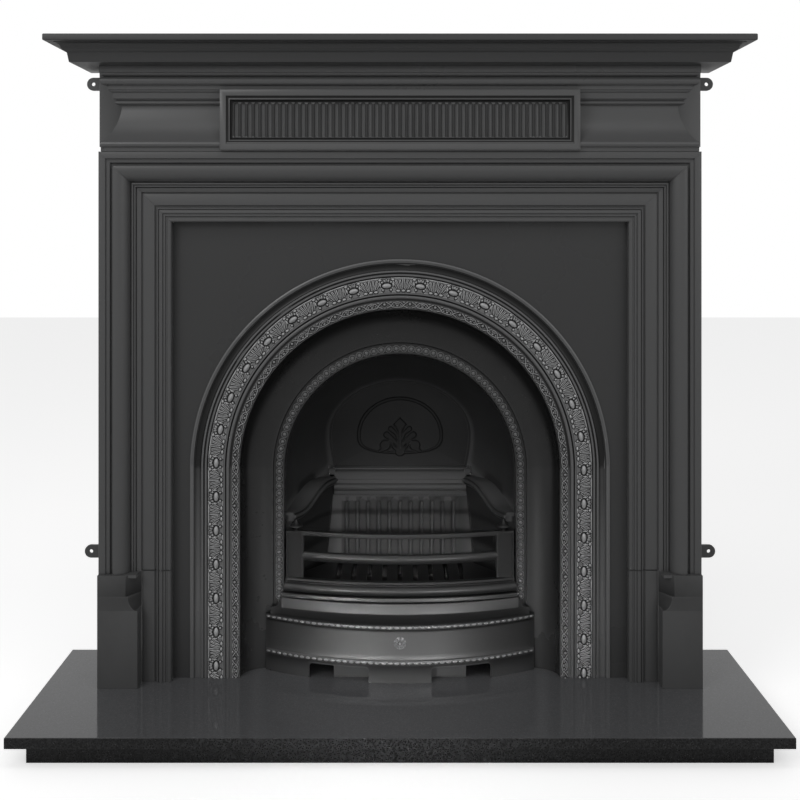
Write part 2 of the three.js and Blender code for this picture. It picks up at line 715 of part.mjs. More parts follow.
function cheek(side) {
  const wall = loft(pairs([[0, 0], [1, 0], [1, 1], [0, 1]]), stationDepths.map((d) => (s, t) => (
    [cheekX(d) + s * castWall, at(d), t ? railZ(d) - railRadius - seatGap : standing]
  )));
  const frontFlange = box(
    cheekFrontX, cheekFrontX + cheekFlange, at(chamberFront), at(chamberFront + castWall),
    standing, hearthTop + railFrontHeight - railRadius - 4,
  );
  const rearFlangePlate = box(
    cheekBackX, cheekBackX + 22, at(chamberBack - castWall), at(chamberBack),
    standing, hearthTop + railFrontHeight,
  );
  const restTop = hearthTop + grateHeight - seatGap;
  const rests = [0.2, 0.75].map((share) => {
    const d = THREE.MathUtils.lerp(chamberFront, chamberBack, share);
    const face = Math.min(cheekX(d), cheekX(d + grateRestLength));
    return box(face - 12, cheekX(d) + 2, at(d), at(d + grateRestLength), restTop - 12, restTop);
  });
  const barRest = box(
    cheekFrontX, postOuterX - 2, at(barsSetBack + 4), at(chamberFront + 1), barRestTop - 12, barRestTop,
  );
  const casting = cut(
    joined(wall, frontFlange, rearFlangePlate, barRest, ...rests), ...flangeBoltHoles, ...firebackBoltHoles,
  );
  return side < 0 ? mirrored(casting) : casting;
}

const firebackTop = hearthTop + railBackHeight - 30.5;

function fireback() {
  const half = cheekBackX + 24;
  const body = box(-half, half, at(firebackSetBack), at(firebackSetBack + firebackThickness), standing, firebackTop);
  const grooves = [];
  const length = 160;
  for (let i = 0; i < firebackFluteCount; i += 1) {
    const groove = fluteCutter(firebackFluteRadius, length);
    const x = (i - (firebackFluteCount - 1) / 2) * firebackFlutePitch;
    grooves.push(groove.translate(x, at(firebackSetBack), firebackTop - 12.5 - length / 2));
  }
  return cut(body, ...grooves, ...firebackBoltHoles);
}

// ledge over the fireback with a curved rail running forward along each cheek
function hoodX(setBack) {
  const k = THREE.MathUtils.clamp((setBack - chamberFront) / (damperSetBack - chamberFront), 0, 1);
  return THREE.MathUtils.lerp(throatRadius, damperFootHalfWidth, hoodEase(k));
}

function hoodEase(k) {
  return 1 - Math.cos((k * Math.PI) / 2);
}

function railWithLedge() {
  const nose = arc(0, 0, railRadius, railRadius, 270, 90, 6);
  const rail = (side) => {
    const stations = stationDepths.map((d) => (x, z) => {
      const web = hoodX(d) + hoodWall + 3 - cheekX(d);
      return [side * (cheekX(d) + (x > 20 ? web : x)), at(d), railZ(d) + z];
    });
    const section = outline(
      nose, [[30, railRadius], [30, railRadius - castWall], [7, railRadius - castWall], [7, -railRadius]],
    );
    return loft(section, stations);
  };
  const top = firebackTop + seatGap;
  const face = chamberBack - 2;
  const section = outline(
    [[face + 18, top], [face, top], [face, top + 8]],
    arc(face, top + 16, 3.5, 7, 270, 90, 4),
    [[face + 2, top + 24], [face + 2, top + 32]],
    arc(face + 14, top + 33, 11, 18, 180, 90, 4),
    [[face + 14, top + ledgeHeight], [face + 18, top + ledgeHeight]],
  );
  const half = cheekBackX - 0.5;
  const run = (x) => (d, z) => [x, at(d), z];
  return joined(loft(section, [run(-half), run(half)]), rail(-1), rail(1));
}

// ---- smoke hood: from the arch back to the damper opening ----
const damperFoot = hearthTop + damperFootHeight;
const damperWaist = hearthTop + damperWaistHeight;
const damperTop = hearthTop + damperTopHeight;
const hoodArchSteps = 20;
const hoodLegSteps = 3;
const hoodRows = 6;

// the damper opening, from its left foot over the top to its right foot, grown by a margin
function damperOutline(margin) {
  const left = [];
  for (let i = 0; i < hoodLegSteps; i += 1) {
    const t = i / hoodLegSteps;
    const width = THREE.MathUtils.lerp(damperFootHalfWidth, damperHalfWidth, Math.sin((t * Math.PI) / 2));
    left.push(point(-width - margin, THREE.MathUtils.lerp(damperFoot, damperWaist, t)));
  }
  const over = arc(
    0, damperWaist, damperHalfWidth + margin, damperTop - damperWaist + margin, 180, 0, hoodArchSteps,
  );
  const right = left.map((p) => point(-p.x, p.y)).reverse();
  return [...left, ...over, ...right];
}

function throatOutline(margin) {
  const foot = railZ(chamberFront) + railRadius + hoodFootGap;
  const centre = archCentre(insertBack);
  const left = [];
  for (let i = 0; i < hoodLegSteps; i += 1) {
    left.push(point(-throatRadius - margin, THREE.MathUtils.lerp(foot, centre, i / hoodLegSteps)));
  }
  const over = arc(0, centre, throatRadius + margin, throatRadius + margin, 180, 0, hoodArchSteps);
  return [...left, ...over, ...left.map((p) => point(-p.x, p.y)).reverse()];
}

function smokeHood() {
  const grid = (margin) => {
    const front = throatOutline(margin);
    const back = damperOutline(margin);
    const rows = [];
    for (let r = 0; r <= hoodRows; r += 1) {
      const k = r / hoodRows;
      const setBack = THREE.MathUtils.lerp(chamberFront, damperSetBack, k);
      const railTop = railZ(setBack) + railRadius + hoodFootGap;
      rows.push(front.map((p, i) => {
        const x = THREE.MathUtils.lerp(p.x, back[i].x, hoodEase(k));
        const z = THREE.MathUtils.lerp(p.y, back[i].y, hoodEase(k));
        const isFoot = i === 0 || i === front.length - 1;
        return [x, at(setBack), isFoot ? Math.max(railTop, z) : z];
      }));
    }
    return rows;
  };
  const shell = thickShell(grid(0), grid(hoodWall));
  const flangeSection = pairs([
    [throatRadius + 1, chamberFront], [throatRadius + 24, chamberFront],
    [throatRadius + 24, chamberFront + castWall], [throatRadius + 1, chamberFront + castWall],
  ]);
  const flange = archSweep(flangeSection, railZ(chamberFront) + railRadius + 2);
  const earHole = rod(rodRadius + seatGap, 400, 16, 'x').translate(0, at(hingeSetBack), hingeZ);
  const ears = [-1, 1].map((side) => {
    const inner = damperFootHalfWidth + damperLap + 1.5;
    const ear = box(inner, inner + 8, at(damperSetBack - 10), at(hingeSetBack + 8), hingeZ - 8, hingeZ + 7);
    return side < 0 ? mirrored(ear) : ear;
  });
  return cut(joined(shell, flange, ...ears), earHole, ...flangeBoltHoles);
}

// ---- damper flap on its rod ----
const flapSetBack = damperSetBack + seatGap;
const hingeSetBack = flapSetBack + damperThickness / 2 + 1;
const hingeZ = damperFoot - 3;
const flapRollRadius = rodRadius + runningGap + 3;

function damperFlap() {
  const shape = new THREE.Shape(outline([[-damperFootHalfWidth - damperLap, hingeZ]], damperOutline(damperLap),
    [[damperFootHalfWidth + damperLap, hingeZ]]));
  const flap = plate(shape, flapSetBack, flapSetBack + damperThickness);
  const half = damperFootHalfWidth + damperLap;
  const roll = rod(flapRollRadius, 2 * half - 9, 18, 'x').translate(0, at(hingeSetBack), hingeZ);
  const bore = rod(rodRadius + runningGap, 2 * half + 20, 18, 'x').translate(0, at(hingeSetBack), hingeZ);
  return cut(joined(flap, roll, palmette()), bore);
}

// low relief on the flap: an oval loop with a five-fingered leaf at its foot
function palmette() {
  const front = flapSetBack;
  const foot = hearthTop + 404;
  const loopShape = (grow) => arc(0, foot + 58, 86 + grow, 59 + grow, 0, 342, 19);
  const loop = new THREE.Shape(loopShape(1.6));
  loop.holes.push(new THREE.Path(loopShape(-1.6).reverse()));
  const pieces = [plate(loop, front - 1.6, front + 1)];
  const fingers = [[0, 66, 9], [34, 52, 7.5], [-34, 52, 7.5], [64, 40, 7], [-64, 40, 7]];
  for (const [degrees, length, width] of fingers) {
    const finger = new THREE.Shape(outline(
      [[-2.5, 0], [2.5, 0], [width, length * 0.55], [0, length], [-width, length * 0.55]],
    ));
    const leaf = plate(finger, front - 1.8, front + 1);
    pieces.push(leaf.rotateY(radians(degrees)).translate(0, 0, foot + 5));
  }
  return joined(...pieces);
}

// ---- front bars with their posts and sill ----
// how far an arc of the given half chord and rise stands in front of its ends
function bow(x, halfChord, rise) {
  const radius = (halfChord * halfChord + rise * rise) / (2 * rise);
  return Math.sqrt(Math.max(radius * radius - x * x, 0)) - (radius - rise);
}

function bowedBar(section, halfLength, rise, steps) {
  const stations = [];
  for (let i = 0; i <= steps; i += 1) {
    const x = THREE.MathUtils.lerp(-halfLength, halfLength, i / steps);
    stations.push((d, z) => [x, at(d - bow(x, halfLength, rise)), z]);
  }
  return loft(section, stations);
}

const sillHalf = postOuterX + 1;
const postSetBack = barsSetBack - bow(postInnerX, sillHalf, sillBow) + 6;
const postDepth = 13;
const postTop = hearthTop + postTopHeight;
const finialX = (postInnerX + postOuterX) / 2 - 2.5;
const finialStud = 6;
const barSteps = 12;

function frontBars() {
  const sillBottom = hearthTop + sillBottomHeight;
  const level = (height) => sillBottom + height;
  const posts = [-1, 1].map((side) => {
    const post = box(
      postInnerX, postOuterX, at(postSetBack), at(postSetBack + postDepth), sillBottom + 5, postTop,
    );
    return side < 0 ? mirrored(post) : post;
  });
  const set = postSetBack + 1;
  const topBar = bowedBar(pairs([
    [set, postTop - 1], [set + 1, postTop], [set + 11, postTop], [set + 11, postTop - topBarThickness],
    [set + 1, postTop - topBarThickness], [set, postTop - topBarThickness + 1],
  ]), postInnerX + 4, topBarBow, barSteps);
  const middleBar = bowedBar(
    arc(set + 6, hearthTop + middleBarHeight, middleBarRadius - 2.5, middleBarRadius, 0, 330, 11),
    postInnerX + 4, middleBarBow, barSteps,
  );
  const sill = bowedBar(outline(
    [[barsSetBack + 11, sillBottom], [barsSetBack + 11, level(sillHeight)], [barsSetBack - 1, level(sillHeight)]],
    [[barsSetBack - 3, level(sillHeight - 3)], [barsSetBack - 1, level(sillHeight - 6.5)]],
    arc(barsSetBack - 1, level(19), 8, 9, 90, 270, 5),
    [[barsSetBack - 5, level(8.5)], [barsSetBack - 9, level(7.5)], [barsSetBack - 10, level(1)]],
    [[barsSetBack - 9, sillBottom]],
  ), sillHalf, sillBow, barSteps + 4);
  const studHoles = [-1, 1].map((side) => (
    rod(boltRadius + seatGap, 2 * (finialStud + 0.5), 12, 'z')
      .translate(side * finialX, at(postSetBack + postDepth / 2), postTop)
  ));
  return cut(joined(sill, topBar, middleBar, ...posts), ...studHoles);
}

function finial(side) {
  const turned = new THREE.LatheGeometry(pairs([
    [0, -finialStud], [boltRadius, -finialStud], [boltRadius, 0.3], [6.3, 0.3], [6.3, 1.8], [4.6, 2.6],
    [5, 3.8], [8.2, 5.2], [8.2, 6.6], [7.4, 7.6], [4.2, 13], [1.6, 20], [0, 22],
  ]), 16);
  const solid = weld(turned).rotateX(Math.PI / 2);
  return solid.translate(side * finialX, at(postSetBack + postDepth / 2), postTop);
}

// ---- bottom grate ----
function bottomGrate() {
  // the front edge follows the top bar, behind it, so that the grate lifts out past the bars
  const edgeAt = (x) => postSetBack + 16 - bow(x, postInnerX + 4, topBarBow);
  const halfFront = postInnerX - 10;
  const back = chamberBack - 3;
  const sidePoints = [];
  for (let i = 0; i <= 6; i += 1) {
    const d = THREE.MathUtils.lerp(chamberFront + 1, back, i / 6);
    sidePoints.push(point(cheekX(d) - grateSideGap, at(d)));
  }
  const front = [];
  for (let i = 0; i <= 12; i += 1) {
    const x = THREE.MathUtils.lerp(-halfFront, halfFront, i / 12);
    front.push(point(x, at(edgeAt(x))));
  }
  const rim = [...front, ...sidePoints, ...[...sidePoints].reverse().map((p) => point(-p.x, p.y))];
  const shape = new THREE.Shape(rim);
  const slotPitch = (2 * (cheekBackX - 16)) / (grateSlotCount - 1);
  for (let i = 0; i < grateSlotCount; i += 1) {
    const x = (i - (grateSlotCount - 1) / 2) * slotPitch;
    const near = at(edgeAt(x) + 8);
    const far = at(back - 14);
    const half = grateSlotWidth / 2;
    shape.holes.push(new THREE.Path(outline(
      arc(x, far - half, half, half, 0, 180, 4), arc(x, near + half, half, half, 180, 360, 4),
    )));
  }
  const bottom = hearthTop + grateHeight;
  return slab(shape, bottom, bottom + grateThickness);
}

// ---- ash-pit cover ----
const coverFrontAt = (x) => coverEndSetBack - bow(x, coverHalfWidth, coverBow);
const coverRimAt = (x) => {
  const inside = Math.min(Math.abs(x), coverRimHalfWidth);
  return coverRimSetBack + coverRimBow - bow(inside, coverRimHalfWidth, coverRimBow);
};

function ashPitCover() {
  const bead = hearthTop + coverBeadHeight;
  const footBead = hearthTop + coverFootBeadHeight;
  const shoulder = bead + 15;
  const rimTop = hearthTop + coverRimHeight;
  const wall = bowedBar(outline(
    [[3, standing], [3, footBead - 4.5], [0.5, footBead - 3.5], [-1, footBead], [0.5, footBead + 3.5]],
    [[4, footBead + 5], [5.5, footBead + 10], [5.5, bead - 8], [4, bead - 4.5], [0.5, bead - 3.5]],
    [[-0.8, bead], [0.5, bead + 3], [5, bead + 5], [9, bead + 2], [9, footBead + 6], [8, standing]],
  ).map((p) => point(p.x + coverEndSetBack, p.y)), coverHalfWidth, coverBow, 22);
  const halfTop = coverRimHalfWidth + 8;
  const topSection = pairs([[0, 0], [2, 0.5], [2, 2], [3, 2], [3, 0.5], [1, -0.5]]);
  const stations = [];
  for (let i = 0; i <= 18; i += 1) {
    const x = THREE.MathUtils.lerp(-halfTop, halfTop, i / 18);
    const setBacks = [coverFrontAt(x) + 3, coverFrontAt(x) + 7, coverRimAt(x), coverRimAt(x) + coverWall];
    const heights = new Map([[0, bead + 4.2], [0.5, shoulder], [2, rimTop], [-0.5, bead - 0.5]]);
    stations.push((edge, level) => {
      const z = edge === 3 && level === 0.5 ? shoulder - 5 : heights.get(level);
      return [x, at(setBacks[edge]), z];
    });
  }
  const airCut = (side) => {
    const corner = 7;
    const shape = new THREE.Shape(outline(
      [[airCutInner, standing - 1], [airCutOuter, standing - 1]],
      arc(airCutOuter - corner, hearthTop + airCutHeight - corner, corner, corner, 0, 90, 4),
      arc(airCutInner + corner, hearthTop + airCutHeight - corner, corner, corner, 90, 180, 4),
    ));
    const tool = plate(shape, -10, coverEndSetBack + 20);
    return side < 0 ? mirrored(tool) : tool;
  };
  return cut(joined(wall, loft(topSection, stations), rosette()), airCut(-1), airCut(1));
}

function rosette() {
  const petals = 8;
  const ring = [];
  for (let i = 0; i < petals * 4; i += 1) {
    const angle = (i / (petals * 4)) * 2 * Math.PI;
    const radius = 11 + 1.4 * Math.cos(petals * angle);
    ring.push(point(radius * Math.cos(angle), radius * Math.sin(angle)));
  }
  const height = hearthTop + coverFootBeadHeight + (coverBeadHeight - coverFootBeadHeight) * 0.54;
  const face = coverFrontAt(0) + 5.5;
  const flower = new THREE.Shape(ring);
  const disc = plate(flower, face - 2.5, face + 1).translate(0, 0, height);
  const boss = weld(new THREE.SphereGeometry(4.5, 10, 6)).translate(0, at(face - 2.5), height);
  return joined(disc, boss);
}

// ---- ash pan ----
function ashPan() {
  const bottom = standing;
  const top = hearthTop + panHeight;
  const front = at(panSetBack);
  const back = at(panSetBack + panLength);
  const tray = box(-panHalfWidth, panHalfWidth, front, back, bottom, top);
  const inside = box(
    -panHalfWidth + panWall, panHalfWidth - panWall, front + panWall, back - panWall, bottom + panWall, top + 1,
  );
  const lipWidth = 6;
  const lip = cut(
    box(-panHalfWidth - lipWidth, panHalfWidth + lipWidth, front, back, top - panWall, top),
    box(-panHalfWidth + 1, panHalfWidth - 1, front + 1, back - 1, top - 5, top + 1),
  );
  return joined(cut(tray, inside), lip);
}

function panHandle() {
  const width = 34;
  const reach = 12;
  const height = hearthTop + panHeight * 0.6;
  const front = at(panSetBack) - seatGap;
  const corners = [[-width, 0], [-width, -reach], [width, -reach], [width, 0]].map(
    ([x, y]) => new THREE.Vector3(x, front + y, height),
  );
  const curve = new THREE.CatmullRomCurve3([
    corners[0], corners[0].clone().lerp(corners[1], 0.7), corners[1].clone().lerp(corners[2], 0.12),
    corners[1].clone().lerp(corners[2], 0.5), corners[1].clone().lerp(corners[2], 0.88),
    corners[3].clone().lerp(corners[2], 0.7), corners[3],
  ]);
  const round = new THREE.Shape(arc(0, 0, 3, 3, 0, 315, 7));
  const grip = weld(new THREE.ExtrudeGeometry(round, { steps: 14, extrudePath: curve }));
  const pads = [-1, 1].map((side) => box(
    side * width - 7, side * width + 7, front - 2, front, height - 7, height + 7,
  ));
  return joined(grip, ...pads);
}

// ---- fasteners: each is put in from behind, from inside a hollow, or down through a flange ----
function addBolts(name, places, grip, turn = 0) {
  places.forEach(([x, setBack, z], i) => {
    const bolt = boltAlong(grip).rotateX(turn);
    addPiece(`${name}_${i + 1}`, bolt.translate(x, at(setBack), z), 'boltSteel');
  });
}

const behind = (places, setBack) => places.map(([x, z]) => [x, setBack, z]);
const bothSides = (x, setBack, z) => [[-x, setBack, z], [x, setBack, z]];
const forwards = Math.PI;
const upright = Math.PI / 2;

addPiece('left_jamb', cut(jamb(-1), ...cornerBoltHoles), 'surroundIron');
addPiece('right_jamb', cut(jamb(1), ...cornerBoltHoles), 'surroundIron');
addPiece('header', cut(header(), ...cornerBoltHoles), 'surroundIron');
addPiece('left_plinth_block', plinthBlock(-1), 'surroundIron');
addPiece('right_plinth_block', plinthBlock(1), 'surroundIron');
addPiece('frieze', frieze(), 'surroundIron');
addPiece('mantel_shelf', mantelShelf(), 'surroundIron');
addPiece('left_corner_plate', cornerPlate(-1), 'boltSteel');
addPiece('right_corner_plate', cornerPlate(1), 'boltSteel');
addBolts('corner_bolt', behind(
  cornerBoltPlaces, cornerPlateBack - cornerPlateThickness - seatGap,
), cornerPlateThickness + seatGap + castWall, forwards);
addBolts('frieze_bolt', bothSides(
  friezeBoltX, friezeBoltSetBack, friezeBottom + castWall + seatGap,
), 2 * castWall, upright);
addBolts('shelf_bolt', bothSides(
  friezeBoltX, shelfBoltSetBack, corniceBottom + castWall + seatGap,
), 2 * castWall, upright);
addBolts('plinth_bolt', bothSides(
  jambBoltX, jambBoltSetBack, plinthTop + castWall + 2 * seatGap,
), 2 * castWall, upright);

addPiece('insert_front', insertFront(), 'insertIron');
addBolts('insert_bolt', behind(
  insertBoltPlaces, panelSetBack + castWall + seatGap,
), castWall + boltGrip);
addPiece('left_cheek', cheek(-1), 'fireIron');
addPiece('right_cheek', cheek(1), 'fireIron');
addPiece('fireback', fireback(), 'fireIron');
addPiece('ledge_and_rails', railWithLedge(), 'fireIron');
addPiece('smoke_hood', smokeHood(), 'fireIron');
addBolts('hood_bolt', behind(hoodBoltPlaces, chamberFront + castWall + seatGap), castWall + boltGrip);
addBolts('cheek_bolt', behind(cheekBoltPlaces, chamberFront + castWall + seatGap), castWall + boltGrip);
addBolts('fireback_bolt', behind(
  firebackBoltPlaces, firebackSetBack + firebackThickness + seatGap,
), firebackThickness + castWall);
addPiece('damper_flap', damperFlap(), 'fireIron');
addPiece('damper_rod', rod(
  rodRadius, 2 * (damperFootHalfWidth + damperLap + 13), 18, 'x',
).translate(0, at(hingeSetBack), hingeZ), 'boltSteel');
addPiece('front_bars', frontBars(), 'barIron');
addPiece('left_finial', finial(-1), 'barIron');
addPiece('right_finial', finial(1), 'barIron');
addPiece('bottom_grate', bottomGrate(), 'fireIron');
addPiece('ash_pit_cover', ashPitCover(), 'barIron');
addPiece('ash_pan', ashPan(), 'panSteel');
addPiece('ash_pan_handle', panHandle(), 'panSteel');

export default fireplace;
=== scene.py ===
import json
import math

import bmesh
import bpy
import numpy as np
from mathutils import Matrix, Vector


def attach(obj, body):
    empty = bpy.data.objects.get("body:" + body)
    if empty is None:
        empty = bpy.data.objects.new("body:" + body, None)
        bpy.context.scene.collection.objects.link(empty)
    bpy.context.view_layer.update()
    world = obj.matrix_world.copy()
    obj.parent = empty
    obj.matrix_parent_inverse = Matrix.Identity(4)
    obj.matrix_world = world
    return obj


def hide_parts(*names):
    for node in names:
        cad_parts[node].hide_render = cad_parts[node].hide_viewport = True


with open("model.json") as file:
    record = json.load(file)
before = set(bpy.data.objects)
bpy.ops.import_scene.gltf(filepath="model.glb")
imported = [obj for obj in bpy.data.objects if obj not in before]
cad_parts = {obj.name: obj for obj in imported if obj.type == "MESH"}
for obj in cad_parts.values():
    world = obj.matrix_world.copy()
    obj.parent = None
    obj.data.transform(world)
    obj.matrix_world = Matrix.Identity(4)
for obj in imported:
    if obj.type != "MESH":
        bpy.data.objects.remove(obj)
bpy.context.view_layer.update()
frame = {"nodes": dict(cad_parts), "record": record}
mm = 0.001
tinyEdge = 1e-7
tiny = 1e-6
far = 1e9
print("frame loaded")

# levels and set-backs shared by the castings, in millimetres
# set-backs count from the plinth fronts
layout = {
    "front": 2.5, "hearthTop": 58.0, "standing": 58.3, "halfSurround": 580.5, "frameTop": 1088.2,
    "frameWidth": 135.5, "depth": 100.0, "wall": 6.0, "panel": 50.0, "insertBack": 106.0,
    "friezeFoot": 1088.5, "friezeTop": 1252.2, "shelfFoot": 1252.5, "shelfTop": 1299.5,
    "plinthTop": 274.3, "chamberFront": 106.3, "chamberBack": 232.0, "fit": 0.3,
}


def depthY(setBack):
    return layout["front"] + setBack


def spot(x, setBack, z):
    # points from across, set-back and height, each a list or a single number
    setBack = np.asarray(setBack, float)
    return np.stack(np.broadcast_arrays(np.asarray(x, float), depthY(setBack), z), -1)


# outlines
def arc(cx, cy, rx, ry, start, end, steps):
    angles = np.radians(np.linspace(start, end, steps + 1))
    return np.stack([cx + rx * np.cos(angles), cy + ry * np.sin(angles)], 1)


def outline(*parts):
    return np.concatenate([np.asarray(part, float).reshape(-1, 2) for part in parts])


def softened(points, radius=0.7, steps=2):
    # rounds the corners of a closed outline the way sand casting does
    points = np.asarray(points, float)
    made = []
    count = len(points)
    for i in range(count):
        before, here, after = points[i - 1], points[i], points[(i + 1) % count]
        inward, outward = before - here, after - here
        lengthIn, lengthOut = np.linalg.norm(inward), np.linalg.norm(outward)
        if lengthIn < tiny or lengthOut < tiny:
            continue
        inward, outward = inward / lengthIn, outward / lengthOut
        turn = math.pi - math.acos(float(np.clip(np.dot(inward, outward), -1, 1)))
        if turn < math.radians(24):
            made.append(here)
            continue
        reach = min(radius * math.tan(turn / 2), 0.42 * lengthIn, 0.42 * lengthOut)
        a, b = here + inward * reach, here + outward * reach
        for t in np.linspace(0, 1, steps + 1):
            made.append((1 - t) ** 2 * a + 2 * t * (1 - t) * here + t ** 2 * b)
    return np.array(made)


# shapes gathered from swept skins, then made into one mesh
def newShape():
    return {"points": [], "faces": [], "count": 0}


def addPoints(shape, points):
    start = shape["count"]
    points = np.asarray(points, float).reshape(-1, 3)
    shape["points"].append(points)
    shape["count"] += len(points)
    return start


def addGrid(shape, grid, ringColumns=False, ringRows=False):
    rows, columns = grid.shape[:2]
    start = addPoints(shape, grid)
    index = np.arange(rows * columns).reshape(rows, columns) + start
    if ringColumns:
        index = np.concatenate([index, index[:, :1]], 1)
    if ringRows:
        index = np.concatenate([index, index[:1]], 0)
    a, b, c, d = index[:-1, :-1], index[:-1, 1:], index[1:, 1:], index[1:, :-1]
    shape["faces"].extend(np.stack([a, b, c, d], -1).reshape(-1, 4).tolist())
    return start


def addCapped(shape, rows):
    # closed rings joined one to the next, with a face over each end
    grid = np.stack(rows)
    start = addGrid(shape, grid, ringColumns=True)
    count = grid.shape[1]
    last = start + (len(grid) - 1) * count
    shape["faces"].append(list(range(start, start + count))[::-1])
    shape["faces"].append(list(range(last, last + count)))


def addSpan(shape, section, half):
    # a moulding, drawn in set-backs and heights, run straight across
    addCapped(shape, [spot(x, section[:, 0], section[:, 1]) for x in (-half, half)])


def addPart(shape, part, points=None):
    # joins one shape to another, with its points moved if they are given
    start = addPoints(shape, np.concatenate(part["points"]) if points is None else points)
    shape["faces"].extend([[start + i for i in face] for face in part["faces"]])


def squareRing(x0, x1, z0, z1, setBack, inset=0.0):
    x0, x1, z0, z1 = x0 + inset, x1 - inset, z0 + inset, z1 - inset
    return spot([x0, x1, x1, x0], setBack, [z0, z0, z1, z1])


def addBlock(shape, low, high):
    xs, ys, zs = zip(low, high)
    start = addPoints(shape, [(x, y, z) for x in xs for y in ys for z in zs])
    for face in ((0, 1, 3, 2), (4, 6, 7, 5), (0, 4, 5, 1), (2, 3, 7, 6), (0, 2, 6, 4),
                 (1, 5, 7, 3)):
        shape["faces"].append([start + i for i in face])


def addTurned(shape, profile, centre, axis="z", steps=24):
    # profile: radius against height, on the axis at both ends
    angles = np.linspace(0, 2 * math.pi, steps, endpoint=False)
    rings = []
    for radius, height in profile:
        a, b, h = radius * np.cos(angles), radius * np.sin(angles), np.full(steps, height)
        rings.append(np.stack({"z": (a, b, h), "y": (a, h, b), "x": (h, a, b)}[axis], 1))
    addGrid(shape, np.stack(rings) + np.asarray(centre, float), ringColumns=True)


def makePiece(shape, name, material, body, nodes=(), sharp=34):
    mesh = bpy.data.meshes.new(name)
    points = np.concatenate(shape["points"]) * mm
    mesh.from_pydata(points.tolist(), [], shape["faces"])
    work = bmesh.new()
    work.from_mesh(mesh)
    bmesh.ops.dissolve_degenerate(work, dist=tinyEdge, edges=work.edges)
    bmesh.ops.recalc_face_normals(work, faces=work.faces)
    work.to_mesh(mesh)
    work.free()
    mesh.shade_smooth()
    mesh.set_sharp_from_angle(angle=math.radians(sharp))
    piece = bpy.data.objects.new(name, mesh)
    bpy.context.scene.collection.objects.link(piece)
    mesh.materials.append(material)
    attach(piece, body)
    if nodes:
        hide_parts(*nodes)
    return piece


def mirrorShape(shape):
    made = {"points": [p * np.array([-1, 1, 1]) for p in shape["points"]], "count": shape["count"]}
    made["faces"] = [face[::-1] for face in shape["faces"]]
    return made


# shader groups
def newGroup(name, inputs, outputs):
    group = bpy.data.node_groups.new(name, "ShaderNodeTree")
    for label, kind, value in inputs:
        socket = group.interface.new_socket(name=label, in_out="INPUT", socket_type=kind)
        if value is not None:
            socket.default_value = value
    for label, kind in outputs:
        group.interface.new_socket(name=label, in_out="OUTPUT", socket_type=kind)
    return group, group.nodes.new("NodeGroupInput"), group.nodes.new("NodeGroupOutput")


def addNoise(nodes, links, vector, scale, detail=4.0, roughness=0.55):
    noise = nodes.new("ShaderNodeTexNoise")
    noise.inputs["Detail"].default_value = detail
    noise.inputs["Roughness"].default_value = roughness
    links.new(vector, noise.inputs["Vector"])
    if isinstance(scale, float):
        noise.inputs["Scale"].default_value = scale
    else:
        links.new(scale, noise.inputs["Scale"])
    return noise


def addMath(nodes, links, operation, a, b=None, clamp=False):
    node = nodes.new("ShaderNodeMath")
    node.operation = operation
    node.use_clamp = clamp
    for socket, value in zip(node.inputs, (a, b)):
        if value is None:
            continue
        if isinstance(value, (int, float)):
            socket.default_value = value
        else:
            links.new(value, socket)
    return node.outputs[0]


def addRange(nodes, links, value, fromLow, fromHigh, toLow, toHigh):
    node = nodes.new("ShaderNodeMapRange")
    links.new(value, node.inputs["Value"])
    ends = {"From Min": fromLow, "From Max": fromHigh, "To Min": toLow, "To Max": toHigh}
    for label, number in ends.items():
        node.inputs[label].default_value = number
    return node.outputs["Result"]


def addMix(nodes, links, factor, a, b, blend="MIX"):
    node = nodes.new("ShaderNodeMix")
    node.data_type = "RGBA"
    node.blend_type = blend
    links.new(factor, node.inputs["Factor"])
    links.new(a, node.inputs[6])
    links.new(b, node.inputs[7])
    return node.outputs[2]


